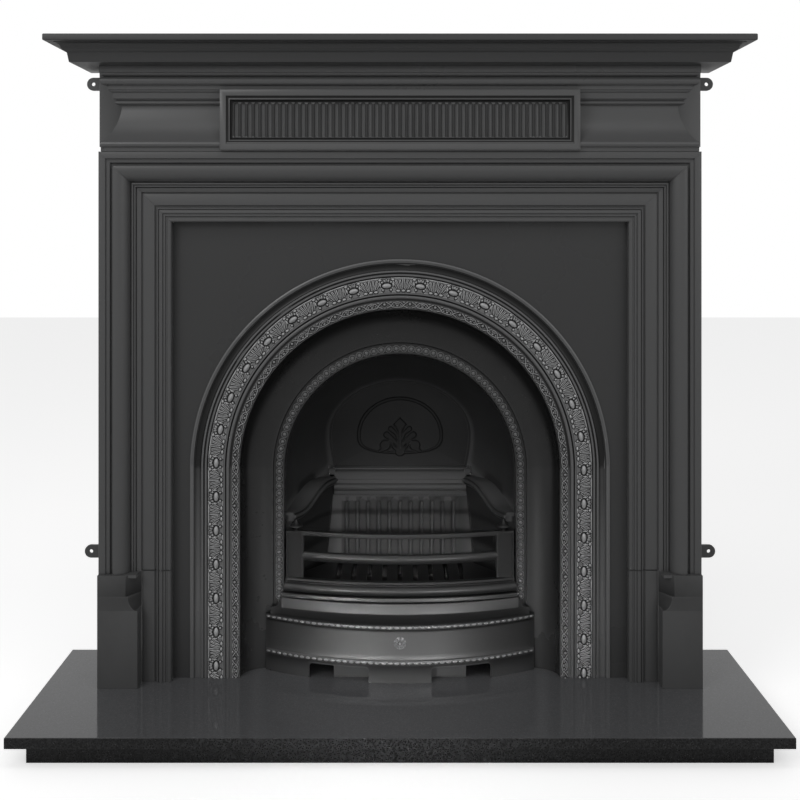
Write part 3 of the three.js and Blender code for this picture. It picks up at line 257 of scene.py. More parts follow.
def buildCastSkin():
    # fine sand-cast grain and slow blotches of blacking; Pointiness makes convex edges lighter,
    # partly rubbed wear and partly painted highlight, and creases darker, a painted shade
    group, entry, leave = newGroup(
        "castSkin",
        [("Grain Scale", "NodeSocketFloat", 900.0), ("Blotch Scale", "NodeSocketFloat", 9.0),
         ("Blotch", "NodeSocketFloat", 0.12), ("Edge Wear And Crease Shade", "NodeSocketFloat", 0.5),
         ("Dark", "NodeSocketColor", (0.03, 0.03, 0.03, 1)),
         ("Light", "NodeSocketColor", (0.09, 0.09, 0.09, 1)),
         ("Roughness", "NodeSocketFloat", 0.45)],
        [("Color", "NodeSocketColor"), ("Roughness", "NodeSocketFloat"),
         ("Height", "NodeSocketFloat")],
    )
    nodes, links = group.nodes, group.links
    place = nodes.new("ShaderNodeTexCoord").outputs["Object"]
    grain = addNoise(nodes, links, place, entry.outputs["Grain Scale"], 3.0, 0.6)
    blotch = addNoise(nodes, links, place, entry.outputs["Blotch Scale"], 5.0, 0.6)
    mottle = addNoise(nodes, links, place, 60.0, 3.0, 0.6)
    # painted light: Pointiness lightens convex edges (rubbed wear and painted highlight) and
    # darkens concave creases and quirks (painted shade)
    point = nodes.new("ShaderNodeNewGeometry").outputs["Pointiness"]
    edge = addRange(nodes, links, point, 0.47, 0.56, -0.6, 1.0)
    cloud = addMath(nodes, links, "SUBTRACT", blotch.outputs["Fac"], 0.5)
    speck = addMath(nodes, links, "SUBTRACT", mottle.outputs["Fac"], 0.5)
    cloud = addMath(nodes, links, "MULTIPLY", cloud, entry.outputs["Blotch"])
    speck = addMath(nodes, links, "MULTIPLY", speck, 0.12)
    wearAndCreaseShade = addMath(nodes, links, "MULTIPLY", edge, entry.outputs["Edge Wear And Crease Shade"])
    amount = addMath(nodes, links, "ADD", addMath(nodes, links, "ADD", cloud, speck), 0.42)
    amount = addMath(nodes, links, "ADD", amount, wearAndCreaseShade, clamp=True)
    colour = addMix(nodes, links, amount, entry.outputs["Dark"], entry.outputs["Light"])
    links.new(colour, leave.inputs["Color"])
    rough = addMath(nodes, links, "MULTIPLY", cloud, -0.5)
    rough = addMath(nodes, links, "ADD", rough, addMath(nodes, links, "MULTIPLY", wearAndCreaseShade, -0.08))
    rough = addMath(nodes, links, "ADD", rough, entry.outputs["Roughness"], clamp=True)
    links.new(rough, leave.inputs["Roughness"])
    height = addMath(nodes, links, "MULTIPLY", mottle.outputs["Fac"], 0.6)
    height = addMath(nodes, links, "ADD", height, grain.outputs["Fac"])
    links.new(height, leave.inputs["Height"])
    return group


def buildGraniteGrain():
    # crystals of dark and pale mineral, with rare bright flecks
    group, entry, leave = newGroup(
        "graniteGrain",
        [("Crystal Scale", "NodeSocketFloat", 420.0),
         ("Dark", "NodeSocketColor", (0.005, 0.005, 0.006, 1)),
         ("Pale", "NodeSocketColor", (0.03, 0.031, 0.034, 1)),
         ("Fleck", "NodeSocketColor", (0.12, 0.12, 0.125, 1)),
         ("Painted Top Light", "NodeSocketColor", (0.03, 0.03, 0.03, 1))],
        [("Color", "NodeSocketColor"), ("Height", "NodeSocketFloat")],
    )
    nodes, links = group.nodes, group.links
    place = nodes.new("ShaderNodeTexCoord").outputs["Object"]
    crystal = nodes.new("ShaderNodeTexVoronoi")
    links.new(place, crystal.inputs["Vector"])
    links.new(entry.outputs["Crystal Scale"], crystal.inputs["Scale"])
    cloud = addNoise(nodes, links, place, 120.0, 5.0, 0.7)
    fleck = addNoise(nodes, links, place, 700.0, 2.0, 0.5)
    shade = addMath(nodes, links, "MULTIPLY", crystal.outputs["Color"], cloud.outputs["Fac"])
    crystals = addRange(nodes, links, shade, 0.1, 0.6, 0.0, 1.0)
    base = addMix(nodes, links, crystals, entry.outputs["Dark"], entry.outputs["Pale"])
    bright = addRange(nodes, links, fleck.outputs["Fac"], 0.68, 0.74, 0.0, 1.0)
    top = addMix(nodes, links, bright, base, entry.outputs["Fleck"])
    # painted light: level faces are made lighter, standing in for the light and reflection that
    # the polished top catches
    facing = nodes.new("ShaderNodeSeparateXYZ")
    links.new(nodes.new("ShaderNodeNewGeometry").outputs["Normal"], facing.inputs[0])
    level = addRange(nodes, links, facing.outputs["Z"], 0.6, 0.95, 0.0, 1.0)
    topLitColour = addMix(nodes, links, level, top, entry.outputs["Painted Top Light"], "ADD")
    links.new(topLitColour, leave.inputs["Color"])
    links.new(cloud.outputs["Fac"], leave.inputs["Height"])
    return group


castSkin = buildCastSkin()
graniteGrain = buildGraniteGrain()


def finishFor(name, look, group, numbers, colours, tint):
    # a material from one shader group: its numbers, its colours and its fine bump
    material = bpy.data.materials.new(name)
    material.use_nodes = True
    nodes, links = material.node_tree.nodes, material.node_tree.links
    shader = nodes["Principled BSDF"]
    skin = nodes.new("ShaderNodeGroup")
    skin.node_tree = group
    for label in numbers:
        skin.inputs[label].default_value = look[label]
    for label in colours:
        level = look[label]
        skin.inputs[label].default_value = (level, level * tint[0], level * tint[1], 1)
    bump = nodes.new("ShaderNodeBump")
    bump.inputs["Strength"].default_value = look["Bump"]
    bump.inputs["Distance"].default_value = look["Bump Depth"]
    links.new(skin.outputs["Color"], shader.inputs["Base Color"])
    if "Roughness" in skin.outputs:
        links.new(skin.outputs["Roughness"], shader.inputs["Roughness"])
    else:
        shader.inputs["Roughness"].default_value = look["Roughness"]
    links.new(skin.outputs["Height"], bump.inputs["Height"])
    links.new(bump.outputs["Normal"], shader.inputs["Normal"])
    shader.inputs["Metallic"].default_value = look["Metallic"]
    shader.inputs["Specular IOR Level"].default_value = look["Specular"]
    return material


plainIron = {"Grain Scale": 900.0, "Blotch Scale": 7.0, "Blotch": 0.35, "Edge Wear And Crease Shade": 0.9,
             "Roughness": 0.42, "Bump": 0.12, "Bump Depth": 0.0004, "Metallic": 0.0,
             "Specular": 0.28, "Dark": 0.008, "Light": 0.072}
ironChanges = {
    "surroundIron": {},
    "friezeIron": {"Dark": 0.002, "Light": 0.09, "Edge Wear And Crease Shade": 1.5},
    "shelfIron": {"Light": 0.05, "Specular": 0.22},
    "insertIron": {"Dark": 0.001, "Light": 0.044, "Specular": 0.17, "Blotch Scale": 2.6,
                   "Blotch": 2.2},
    "mouldIron": {"Dark": 0.001, "Light": 0.11, "Roughness": 0.34, "Edge Wear And Crease Shade": 1.6, "Specular": 0.3},
    # painted shade: a darker copy of the insert's iron for the cove
    "shadedCoveIron": {"Dark": 0.001, "Light": 0.018, "Roughness": 0.3, "Edge Wear And Crease Shade": 0.8, "Specular": 0.4,
                 "Blotch Scale": 5.0, "Blotch": 1.2},
    # painted highlight with some rubbed wear: the raised foliage and the inner band are much
    # lighter copies of the iron
    "ornamentIron": {"Dark": 0.003, "Light": 0.42, "Edge Wear And Crease Shade": 1.5, "Roughness": 0.34,
                     "Specular": 0.5},
    "innerIron": {"Dark": 0.004, "Light": 0.26, "Edge Wear And Crease Shade": 1.2, "Roughness": 0.36, "Specular": 0.4},
    "beadIron": {"Dark": 0.001, "Light": 0.13, "Edge Wear And Crease Shade": 1.6, "Roughness": 0.34, "Specular": 0.25},
    "hoodIron": {"Dark": 0.01, "Light": 0.05, "Roughness": 0.4, "Specular": 0.22},
    "damperIron": {"Dark": 0.004, "Light": 0.03, "Edge Wear And Crease Shade": 1.1, "Roughness": 0.5, "Specular": 0.12},
    "flutedIron": {"Dark": 0.001, "Light": 0.045, "Edge Wear And Crease Shade": 0.7, "Roughness": 0.45,
                   "Specular": 0.15},
    "fireIron": {"Dark": 0.006, "Light": 0.04, "Roughness": 0.45, "Bump": 0.2, "Specular": 0.18},
    "cheekIron": {"Dark": 0.004, "Light": 0.016, "Roughness": 0.5, "Bump": 0.2, "Specular": 0.1},
    "barIron": {"Dark": 0.001, "Light": 0.016, "Roughness": 0.38, "Edge Wear And Crease Shade": 1.0, "Specular": 0.25},
    "coverIron": {"Dark": 0.002, "Light": 0.02, "Roughness": 0.4, "Blotch": 0.8,
                  "Specular": 0.45},
    "pearlIron": {"Dark": 0.006, "Light": 0.11, "Edge Wear And Crease Shade": 0.8, "Roughness": 0.34, "Specular": 0.6},
    "rosetteIron": {"Dark": 0.001, "Light": 0.07, "Edge Wear And Crease Shade": 1.8, "Roughness": 0.4, "Specular": 0.3},
    # painted shade for the ash-pit cover's hollow top and ends
    "shadedTopIron": {"Dark": 0.004, "Light": 0.014, "Roughness": 0.55, "Specular": 0.12},
    "panSteel": {"Dark": 0.015, "Light": 0.03, "Roughness": 0.45, "Metallic": 0.5},
    "boltSteel": {"Dark": 0.1, "Light": 0.22, "Roughness": 0.35, "Metallic": 0.8},
}
# painted light: the granite's level faces are lit up in colour by the top-light level
graniteLook = {"Crystal Scale": 420.0, "Dark": 0.003, "Pale": 0.024, "Fleck": 0.12,
               "Painted Top Light": 0.075, "Bump": 0.02, "Bump Depth": 0.0003, "Roughness": 0.07,
               "Metallic": 0.0, "Specular": 0.28}
skinNumbers = ("Grain Scale", "Blotch Scale", "Blotch", "Edge Wear And Crease Shade", "Roughness")
iron = {name: finishFor(name, {**plainIron, **change}, castSkin, skinNumbers,
                        ("Dark", "Light"), (1.005, 1.015))
        for name, change in ironChanges.items()}
granite = finishFor("granite", graniteLook, graniteGrain, ("Crystal Scale",),
                    ("Dark", "Pale", "Fleck", "Painted Top Light"), (1.01, 1.05))
nodeFinish = {
    "granite": granite, "surround_iron": iron["surroundIron"],
    "insert_iron": iron["insertIron"], "fire_iron": iron["fireIron"],
    "bar_iron": iron["barIron"], "pan_steel": iron["panSteel"], "bolt_steel": iron["boltSteel"],
}
for entry in frame["record"]["subparts"]:
    cadObject = frame["nodes"][entry["node"]]
    finish = nodeFinish[entry["material_slot"]]
    if entry["node"] == "bottom_grate":
        finish = iron["cheekIron"]
    cadObject.data.materials.clear()
    cadObject.data.materials.append(finish)
print("materials made")


# moulded frame
frameLook = {"ovolo": 28, "softening": 0.55, "blockWidth": 77.5, "innerPart": 77.8}
lugLook = {"radius": 13.0, "hole": 3.8, "reach": 52.0, "root": 5.0, "face": 94.0, "back": 100.0,
           "step": 7.5, "jambHeight": 292.5, "friezeHeight": 1229.5}


def frameSection():
    width, lip = layout["frameWidth"], layout["panel"] - layout["fit"]
    face = outline(
        [(0, 9.5), (1, 8.5), (13, 8.5), (14.5, 12), (21, 12), (23, 17), (27.8, 17)],
        arc(34, 28, 23.5, 22.5, -105, -2, frameLook["ovolo"]),
        [(58.5, 28.5), (59.5, 25), (62.8, 25), (63.8, 27.5), (65, 25.5), (67.3, 25.5)],
        [(68.5, 29.5), (70, 27), (77.5, 29.5), (78.5, 33), (80, 33), (81, 31), (103, 31)],
        [(104, 34), (106.5, 34)], arc(109.2, 31, 1.9, 2.2, 180, 360, 8),
        [(111.8, 31), (112.8, 27), (118.8, 27), (119.8, 29.5), (121, 28.5), (124, 28.5)],
        [(125, 31)],
        [(127.5, 31), (128.5, 29.5), (133.5, 29.5), (width, 31.5)],
    )
    back = outline([
        (width, lip), (123, lip), (123, 46), (110, 41), (81, 40), (60, 37), (52, 30), (44, 18),
        (32, 14), (26, 25), (6, 18), (6, 94), (24, 94), (24, 100), (0, 100),
    ])
    return face, back


def addLug(shape, edgeX, height):
    # ear with a round screw hole: rings of points from the hole out to the ear's own outline
    look = lugLook
    radius, hole, face, back = look["radius"], look["hole"], look["face"], look["back"]
    tip, root = edgeX + look["reach"] - radius, edgeX - look["root"]
    angles = np.radians(np.arange(0, 360, look["step"]))
    edge = []
    for c, s in zip(np.cos(angles), np.sin(angles)):
        grow = radius
        if c < 0:
            grow = min(radius / abs(s) if abs(s) > tiny else far, (root - tip) / c)
        edge.append((grow * c, grow * s))
    edge = np.array(edge)
    ring = np.stack([np.cos(angles), np.sin(angles)], 1)
    profile = [(ring * (hole + 0.8), face), (edge * 0.93, face), (edge, face + 0.9),
               (edge, back - 0.6), (edge * 0.97, back), (ring * (hole + 0.3), back),
               (ring * hole, back - 1), (ring * hole, face + 0.7)]
    rows = [spot(tip + p[:, 0], d, p[:, 1] + height) for p, d in profile]
    addGrid(shape, np.stack(rows), ringColumns=True, ringRows=True)


def makeFrame():
    face, back = frameSection()
    look, fit = frameLook, layout["fit"]
    half, top = layout["halfSurround"], layout["frameTop"]
    plinthTop, standing = layout["plinthTop"], layout["standing"]
    full = softened(outline(face, back), look["softening"])
    cut = look["innerPart"]
    inner = outline(face[face[:, 0] > cut], back[back[:, 0] > cut])
    inner = softened(inner, look["softening"])

    def level(s, z):
        return spot(half - s[:, 0], s[:, 1], z)

    shape = newShape()
    addCapped(shape, [level(full, plinthTop + fit), level(full, top - fit - full[:, 0])])
    addCapped(shape, [level(inner, standing), level(inner, plinthTop + 2)])
    addBlock(shape, (half - look["blockWidth"], depthY(38), plinthTop + fit),
             (half - 3, depthY(97), plinthTop + fit + layout["wall"]))
    addLug(shape, half, lugLook["jambHeight"])
    makePiece(shape, "jambRight", iron["surroundIron"], "fireplace",
              ["right_jamb"])
    makePiece(mirrorShape(shape), "jambLeft", iron["surroundIron"], "fireplace",
              ["left_jamb"])
    shape = newShape()
    across = half - full[:, 0]
    addCapped(shape, [spot(x, full[:, 1], top - full[:, 0]) for x in (-across, across)])
    makePiece(shape, "headerMoulding", iron["surroundIron"], "fireplace",
              ["header"])


makeFrame()
print("frame moulding made")


# frieze with its fluted tablet
friezeLook = {"half": 576.0, "tabletHalf": 345.8, "tabletHeight": 116.0, "tabletFoot": 2.3,
              "border": 12.5, "slope": 12.0, "fieldSetBack": 7.0, "softening": 0.6}
tabletFlutes = {"count": 50, "pitch": 12.84, "radius": 3.95, "length": 66.6, "rings": 6,
                "steps": 20, "margin": 0.8, "lip": 0.35, "drop": 0.12}


def friezeSection():
    foot = layout["friezeFoot"]
    t = np.linspace(1, 0, 25)[:, None]
    top, middle, low = np.array([34, 84.0]), np.array([27, 40.0]), np.array([2, 17.0])
    sweep = (1 - t) ** 2 * top + 2 * t * (1 - t) * middle + t ** 2 * low
    section = outline(
        [(9, 0), (9, 7.5), (6, 8), (3, 10), (1.2, 13.5)], sweep, [(34, 91), (28.5, 92)],
        arc(26.5, 96, 3.2, 3.4, 270, 90, 8),
        [(24, 101.5), (20, 103), (20, 114.5), (15, 116), (15, 118.5), (12, 119.5)],
        [(12, 126.5)],
        arc(8, 135.5, 8, 8, 270, 90, 16),
        [(5, 145), (1, 146.5), (1, 149.5), (-3, 151), (-3, 163.7), (100, 163.7)],
        [(100, 157.7), (5, 157.7), (9, 145), (14, 135), (20, 122), (28, 110), (41, 97)],
        [(41, 80), (36.5, 62), (29, 42), (19, 25), (12, 14), (17, 6), (100, 6), (100, 0)],
    )
    section[:, 1] += foot
    return softened(section, friezeLook["softening"])


def addFlutedField(shape, look, middle, face, low, high, half):
    # a flat field with round-ended hollow flutes, one cell of the field to each flute
    radius, count, pitch = look["radius"], look["count"], look["pitch"]
    straight = look["length"] / 2 - radius
    turn = np.radians(np.linspace(0, 180, look["steps"] + 1))
    top = np.column_stack([np.cos(turn), np.sin(turn)])
    bottom = np.column_stack([np.cos(turn + math.pi), np.sin(turn + math.pi)])

    def stadium(r):
        return np.concatenate([top * r + (0, straight), bottom * r - (0, straight)])

    def edgePoint(x, z, x0, x1, centre):
        # the same direction from the flute's end, carried on to the cell's own edge
        if abs(z) <= straight + 1e-9:
            return x1 if x > 0 else x0, middle + z
        end = math.copysign(straight, z)
        rise = z - end
        limitX = ((x1 if x > 0 else x0) - centre) / x if abs(x) > tiny else far
        limitZ = ((high if rise > 0 else low) - middle - end) / rise
        grow = min(limitX, limitZ)
        return centre + x * grow, middle + end + rise * grow

    sunk = [(radius + look["margin"], 0.0), (radius + look["lip"], 0.0)]
    for k in range(look["rings"]):
        r = radius * math.cos(math.radians(90 * k / (look["rings"] - 1)))
        sunk.append((max(r, 0.02), math.sqrt(max(radius ** 2 - r ** 2, 0)) + look["drop"]))
    for i in range(count):
        centre = (i - (count - 1) / 2) * pitch
        x0 = -half if i == 0 else centre - pitch / 2
        x1 = half if i == count - 1 else centre + pitch / 2
        border = np.array([edgePoint(x, z, x0, x1, centre) for x, z in stadium(radius)])
        rows = [spot(border[:, 0], face, border[:, 1])]
        for r, sink in sunk:
            loop = stadium(r)
            rows.append(spot(loop[:, 0] + centre, face + sink, loop[:, 1] + middle))
        addGrid(shape, np.stack(rows), ringColumns=True)
        # corners of the cell that the rays leave out
        for sx in (x0, x1):
            for sz in (low, high):
                away = np.hypot(border[:, 0] - sx, border[:, 1] - sz)
                near = border[np.argsort(away)[:2]]
                corner = spot([sx, *near[:, 0]], face, [sz, *near[:, 1]])
                start = addPoints(shape, corner)
                shape["faces"].append([start, start + 1, start + 2])


def makeFrieze():
    look, foot = friezeLook, layout["friezeFoot"]
    half = look["half"]
    shape = newShape()
    addSpan(shape, friezeSection(), half)
    end = [(0, 1), (1, 1), (42, 42), (42, 48), (6, 48), (6, 100), (0, 100)]
    end = softened(end, look["softening"])
    for side in (-1, 1):
        addCapped(shape, [spot(side * (half - end[:, 0]), end[:, 1], z)
                          for z in (foot + 8, layout["friezeTop"] - 3)])
    lugs = newShape()
    addLug(lugs, half, lugLook["friezeHeight"])
    addPart(shape, lugs)
    addPart(shape, mirrorShape(lugs))
    # tablet: bordered, stepped, with a sloping bead down to the fluted field
    low = foot + look["tabletFoot"]
    high = low + look["tabletHeight"]
    tabletHalf, border, field = look["tabletHalf"], look["border"], look["fieldSetBack"]
    steps = [(0, 38), (0, 0.9), (0.3, 0.3), (0.9, 0), (border - 0.6, 0), (border - 0.1, 0.3),
             (border, 1.7), (border + 0.5, 2), (border + 4.6, 2), (border + 5.1, 1.4),
             (border + 6.2, 1.1), (border + 7.3, 1.5), (border + 7.6, 2.2),
             (border + 11, 6.6), (border + look["slope"], field)]
    rows = [squareRing(-tabletHalf, tabletHalf, low, high, d, inset) for inset, d in steps]
    addGrid(shape, np.stack(rows), ringColumns=True)
    inset = border + look["slope"]
    addFlutedField(shape, tabletFlutes, (low + high) / 2 - 1, field, low + inset, high - inset,
                   tabletHalf - inset)
    makePiece(shape, "friezeCasting", iron["friezeIron"], "fireplace", ["frieze"])


makeFrieze()
print("frieze made")


# mantel shelf
shelfLook = {"overhang": 78.3, "edge": 12.3, "softening": 0.8, "soffit": 40.0, "top": 39.0}


def makeShelf():
    foot, height = layout["shelfFoot"], layout["shelfTop"] - layout["shelfFoot"]
    look, wall = shelfLook, layout["wall"]
    over, edgeFoot, soffit = look["overhang"], height - look["edge"], look["soffit"]
    section = outline(
        [(-soffit, 0), (40.9, 0), (43.9, 17.5), (46.5, 19), (50.5, 22), (51.8, 24)],
        arc(61.7, 24, 9, 9.5, 180, 90, 10),
        [(63, edgeFoot - 1), (63, edgeFoot), (over - 1, edgeFoot), (over, edgeFoot + 1.5)],
        [(over, height - 1.5), (over - 1.5, height), (-soffit, height)],
        [(-soffit, height - wall), (30, height - wall), (52, edgeFoot)],
        [(44, 26), (36, 20), (35, wall), (-soffit, wall)],
    )
    section[:, 1] += foot
    section = softened(section, look["softening"])
    half, rear, top = layout["halfSurround"], layout["depth"], layout["shelfTop"]
    shape = newShape()
    across, z = half + section[:, 0], section[:, 1]
    addCapped(shape, [spot(side * across, d, z) for side, d in (
        (-1, rear), (-1, -section[:, 0]), (1, -section[:, 0]), (1, rear))])
    inset = look["top"]
    addBlock(shape, (inset - half, depthY(inset), top - wall), (half - inset, depthY(rear), top))
    makePiece(shape, "mantelShelf", iron["shelfIron"], "fireplace",
              ["mantel_shelf"])


makeShelf()
print("shelf made")


# plinth blocks
plinthLook = {"width": 77.5, "neck": 54.4, "splay": 31.0, "curveFoot": 149.0, "rise": 27.0,
              "run": 19.0, "softening": 1.2, "floorFront": 34.0}


def softenedFixed(points, radius):
    # rounds every corner with the same number of points, so that rings can be joined
    made = []
    count = len(points)
    for i in range(count):
        before, here, after = points[i - 1], points[i], points[(i + 1) % count]
        inward, outward = before - here, after - here
        lengthIn, lengthOut = np.linalg.norm(inward), np.linalg.norm(outward)
        reach = min(radius, 0.4 * lengthIn, 0.4 * lengthOut)
        a, b = here + inward / lengthIn * reach, here + outward / lengthOut * reach
        for t in (0.0, 0.33, 0.67, 1.0):
            made.append((1 - t) ** 2 * a + 2 * t * (1 - t) * here + t ** 2 * b)
    return np.array(made)


def makePlinths():
    look, wall, rear = plinthLook, layout["wall"], layout["depth"]
    half, top, standing = layout["halfSurround"], layout["plinthTop"], layout["standing"]
    width, neck, rise = look["width"], look["neck"], look["rise"]
    base = layout["hearthTop"] + look["curveFoot"]
    curve = arc(width, rise, look["run"], rise, 270, 180, 14)
    stations = [(width, standing), (width, standing + 0.8)]
    stations += [(x, base + z) for x, z in curve]
    stations += [(neck + 3.8, base + rise + 0.3), (neck, base + rise + 0.8)]
    stations += [(neck, top - 0.8), (neck - 0.4, top)]
    rows = []
    for faceWidth, z in stations:
        ring = outline([(0, 0), (faceWidth, 0), (width, look["splay"]), (width, rear)],
                       [(width - wall, rear), (width - wall, 36), (neck - 3, 8), (wall, 8)],
                       [(wall, rear), (0, rear)])
        rounded = softenedFixed(ring, look["softening"])
        rows.append(spot(half - rounded[:, 0], rounded[:, 1], z))
    shape = newShape()
    addCapped(shape, rows)
    for front, low, high in ((5, top - wall, top - 0.1),
                             (look["floorFront"], standing + 0.1, standing + wall)):
        addBlock(shape, (half - 74, depthY(front), low), (half - 4, depthY(rear - 0.5), high))
    makePiece(shape, "plinthRight", iron["surroundIron"], "fireplace",
              ["right_plinth_block"])
    makePiece(mirrorShape(shape), "plinthLeft", iron["surroundIron"], "fireplace",
              ["left_plinth_block"])


makePlinths()
print("plinths made")


# arched insert
archLook = {"radius": 412.0, "centre": 409.2, "lean": 0.23, "steps": 120,
            "coveRadius": 313.8, "coveWidth": 58.8, "coveDepth": 44.0, "throat": 231.0,
            "softening": 0.5, "halfPanel": 456.0, "panelTop": 963.7, "reference": 362.0,
            "panelLap": 9.0, "mouldRadius": 315.5}


def archCentre(setBack):
    fall = archLook["lean"] * (np.asarray(setBack, float) - layout["panel"])
    return layout["hearthTop"] + archLook["centre"] - fall


def legLength():
    return float(archCentre(layout["panel"])) - layout["standing"]


def archPlace(run, radius, setBack, reference):
    # run: length along the arch at the reference radius, from the crown, positive to the right
    run, radius, setBack = np.broadcast_arrays(np.asarray(run, float), radius, setBack)
    quarter = math.pi / 2 * reference
    inArch = np.abs(run) <= quarter
    angle = math.pi / 2 - np.clip(run, -quarter, quarter) / reference
    centre = archCentre(setBack)
    share = np.clip((np.abs(run) - quarter) / legLength(), 0, 1)
    x = np.where(inArch, radius * np.cos(angle), np.sign(run) * radius)
    leg = centre - share * (centre - layout["standing"])
    return spot(x, setBack, np.where(inArch, centre + radius * np.sin(angle), leg))


def archSection():
    face, look = layout["panel"], archLook
    outer = look["radius"]
    inner = look["coveRadius"] - look["coveWidth"]
    section = outline(
        [(outer, face + 3), (outer, face - 2.5), (outer - 3.5, face - 3.5)],
        [(outer - 7, face - 2.5), (outer - 8, face)],
        arc(outer - 15, face, 6.5, 3.5, 0, 180, 10),
        [(389.5, face - 2.5), (386.5, face - 2.5), (385.5, face + 0.5)],
        [(383.5, face + 0.5), (382.5, face - 2.5), (379.5, face - 2.5)],
        [(378.3, face + 0.5), (347.6, face + 0.5)],
        [(346.4, face - 3), (343.6, face - 3), (342.4, face + 0.5)],
        arc(338.2, face + 0.2, 3.2, 3.4, -20, -200, 8),
        [(333.5, face + 1.5), (331.6, face + 1.5), (330.4, face + 0.8), (316, face + 0.8)],
        [(315, face + 0.2), (look["coveRadius"], face + 2)],
        arc(inner, face + 4, look["coveWidth"], look["coveDepth"], 0, 90, 26),
        [(254, 101), (249.5, 101), (248.5, 98), (236.5, 98), (235.5, 96.5), (232.5, 96.5)],
        [(look["throat"], 99), (look["throat"], layout["insertBack"])],
        [(inner + 4, layout["insertBack"])],
        arc(inner, face + 6, look["coveWidth"] + 7, look["coveDepth"] + 6, 84, 12, 12),
        [(322, face + 8), (outer - 4, face + 8), (outer - 4, face + 3)],
    )
    return softened(section, look["softening"])


def makeInsert():
    look, panel, wall = archLook, layout["panel"], layout["wall"]
    section, reference = archSection(), look["reference"]
    quarter = math.pi / 2 * reference
    foot = quarter + legLength()
    runs = np.linspace(-quarter, quarter, look["steps"] + 1)
    runs = np.concatenate([[-foot], runs, [foot]])
    shape = newShape()
    addCapped(shape, [archPlace(run, section[:, 0], section[:, 1], reference) for run in runs])
    # flat panel round the arch
    edge = archPlace(runs, look["radius"] - look["panelLap"], panel, reference)[:, [0, 2]]
    half, top, centre = look["halfPanel"], look["panelTop"], float(archCentre(panel))
    border = []
    for x, z in edge:
        if z <= centre:
            border.append((math.copysign(half, x), max(z, layout["standing"])))
            continue
        grow = min(half / abs(x) if abs(x) > tiny else far, (top - centre) / (z - centre))
        border.append((x * grow, centre + (z - centre) * grow))
    border = np.array(border)
    # the panel's top corners, put in where the rays cross them
    for side in (-1, 1):
        nearest = np.argmin(np.hypot(border[:, 0] - side * half, border[:, 1] - top))
        border[nearest] = (side * half, top)
    rows = [spot(points[:, 0], d, points[:, 1]) for points, d in (
        (edge, panel), (border, panel), (border, panel + wall), (edge, panel + wall))]
    addGrid(shape, np.stack(rows), ringRows=True)
    piece = makePiece(shape, "insertCasting", iron["insertIron"], "fireplace",
                      ["insert_front"])
    # lighter mouldings with stronger edge and crease tone, and painted shade: a darker, smoother
    # copy of the iron on the cove
    piece.data.materials.append(iron["mouldIron"])
    piece.data.materials.append(iron["shadedCoveIron"])
    for polygon in piece.data.polygons:
        x, y, z = polygon.center / mm
        rise = z - float(archCentre(y - layout["front"]))
        radius = math.hypot(x, rise) if rise > 0 else abs(x)
        if look["mouldRadius"] < radius < look["radius"] + 0.5 and y < depthY(panel + 4):
            polygon.material_index = 1
        elif radius <= look["coveRadius"] + 0.5:
            polygon.material_index = 2


makeInsert()
print("insert made")


# cast ornament on the arch
def dome(u, v, cu, cv, ru, rv, height, turn=0.0):
    c, s = math.cos(math.radians(turn)), math.sin(math.radians(turn))
    du, dv = u - cu, v - cv
    a, b = (du * c + dv * s) / ru, (-du * s + dv * c) / rv
    return height * np.sqrt(np.clip(1 - a * a - b * b, 0, None))


def leafLobe(u, v, cu, cv, length, width, height, turn):
    # a plump lobe with a hollow vein down its middle
    c, s = math.cos(math.radians(turn)), math.sin(math.radians(turn))
    du, dv = u - cu, v - cv
    along, across = du * c + dv * s, -du * s + dv * c
    body = np.sqrt(np.clip(1 - (along / length) ** 2 - (across / width) ** 2, 0, None))
    vein = 1 - 0.45 * np.exp(-(across / (0.28 * width)) ** 2)
    return height * body * vein


def ridge(u, v, points, width, height):
    # a rounded raised stroke through a few points
    h = np.zeros_like(u)
    for (u0, v0), (u1, v1) in zip(points[:-1], points[1:]):
        du, dv = u1 - u0, v1 - v0
        t = np.clip(((u - u0) * du + (v - v0) * dv) / (du * du + dv * dv), 0, 1)
        away = np.hypot(u - u0 - t * du, v - v0 - t * dv) / width
        h = np.maximum(h, height * np.sqrt(np.clip(1 - away * away, 0, None)))
    return h


bandLook = {"reference": 362.0, "half": 15.0, "floor": 50.4, "pitch": 66.26, "phase": 7.0,
            "acrossSteps": 48, "alongStep": 0.8}
# foot, turn, length, width and height of the leaves beside the middle one
bandLeaves = ((5.0, 76, 13.0, 3.0, 8.0), (10.4, 66, 12.6, 2.8, 7.2), (15.2, 56, 10.6, 2.5, 6.0))


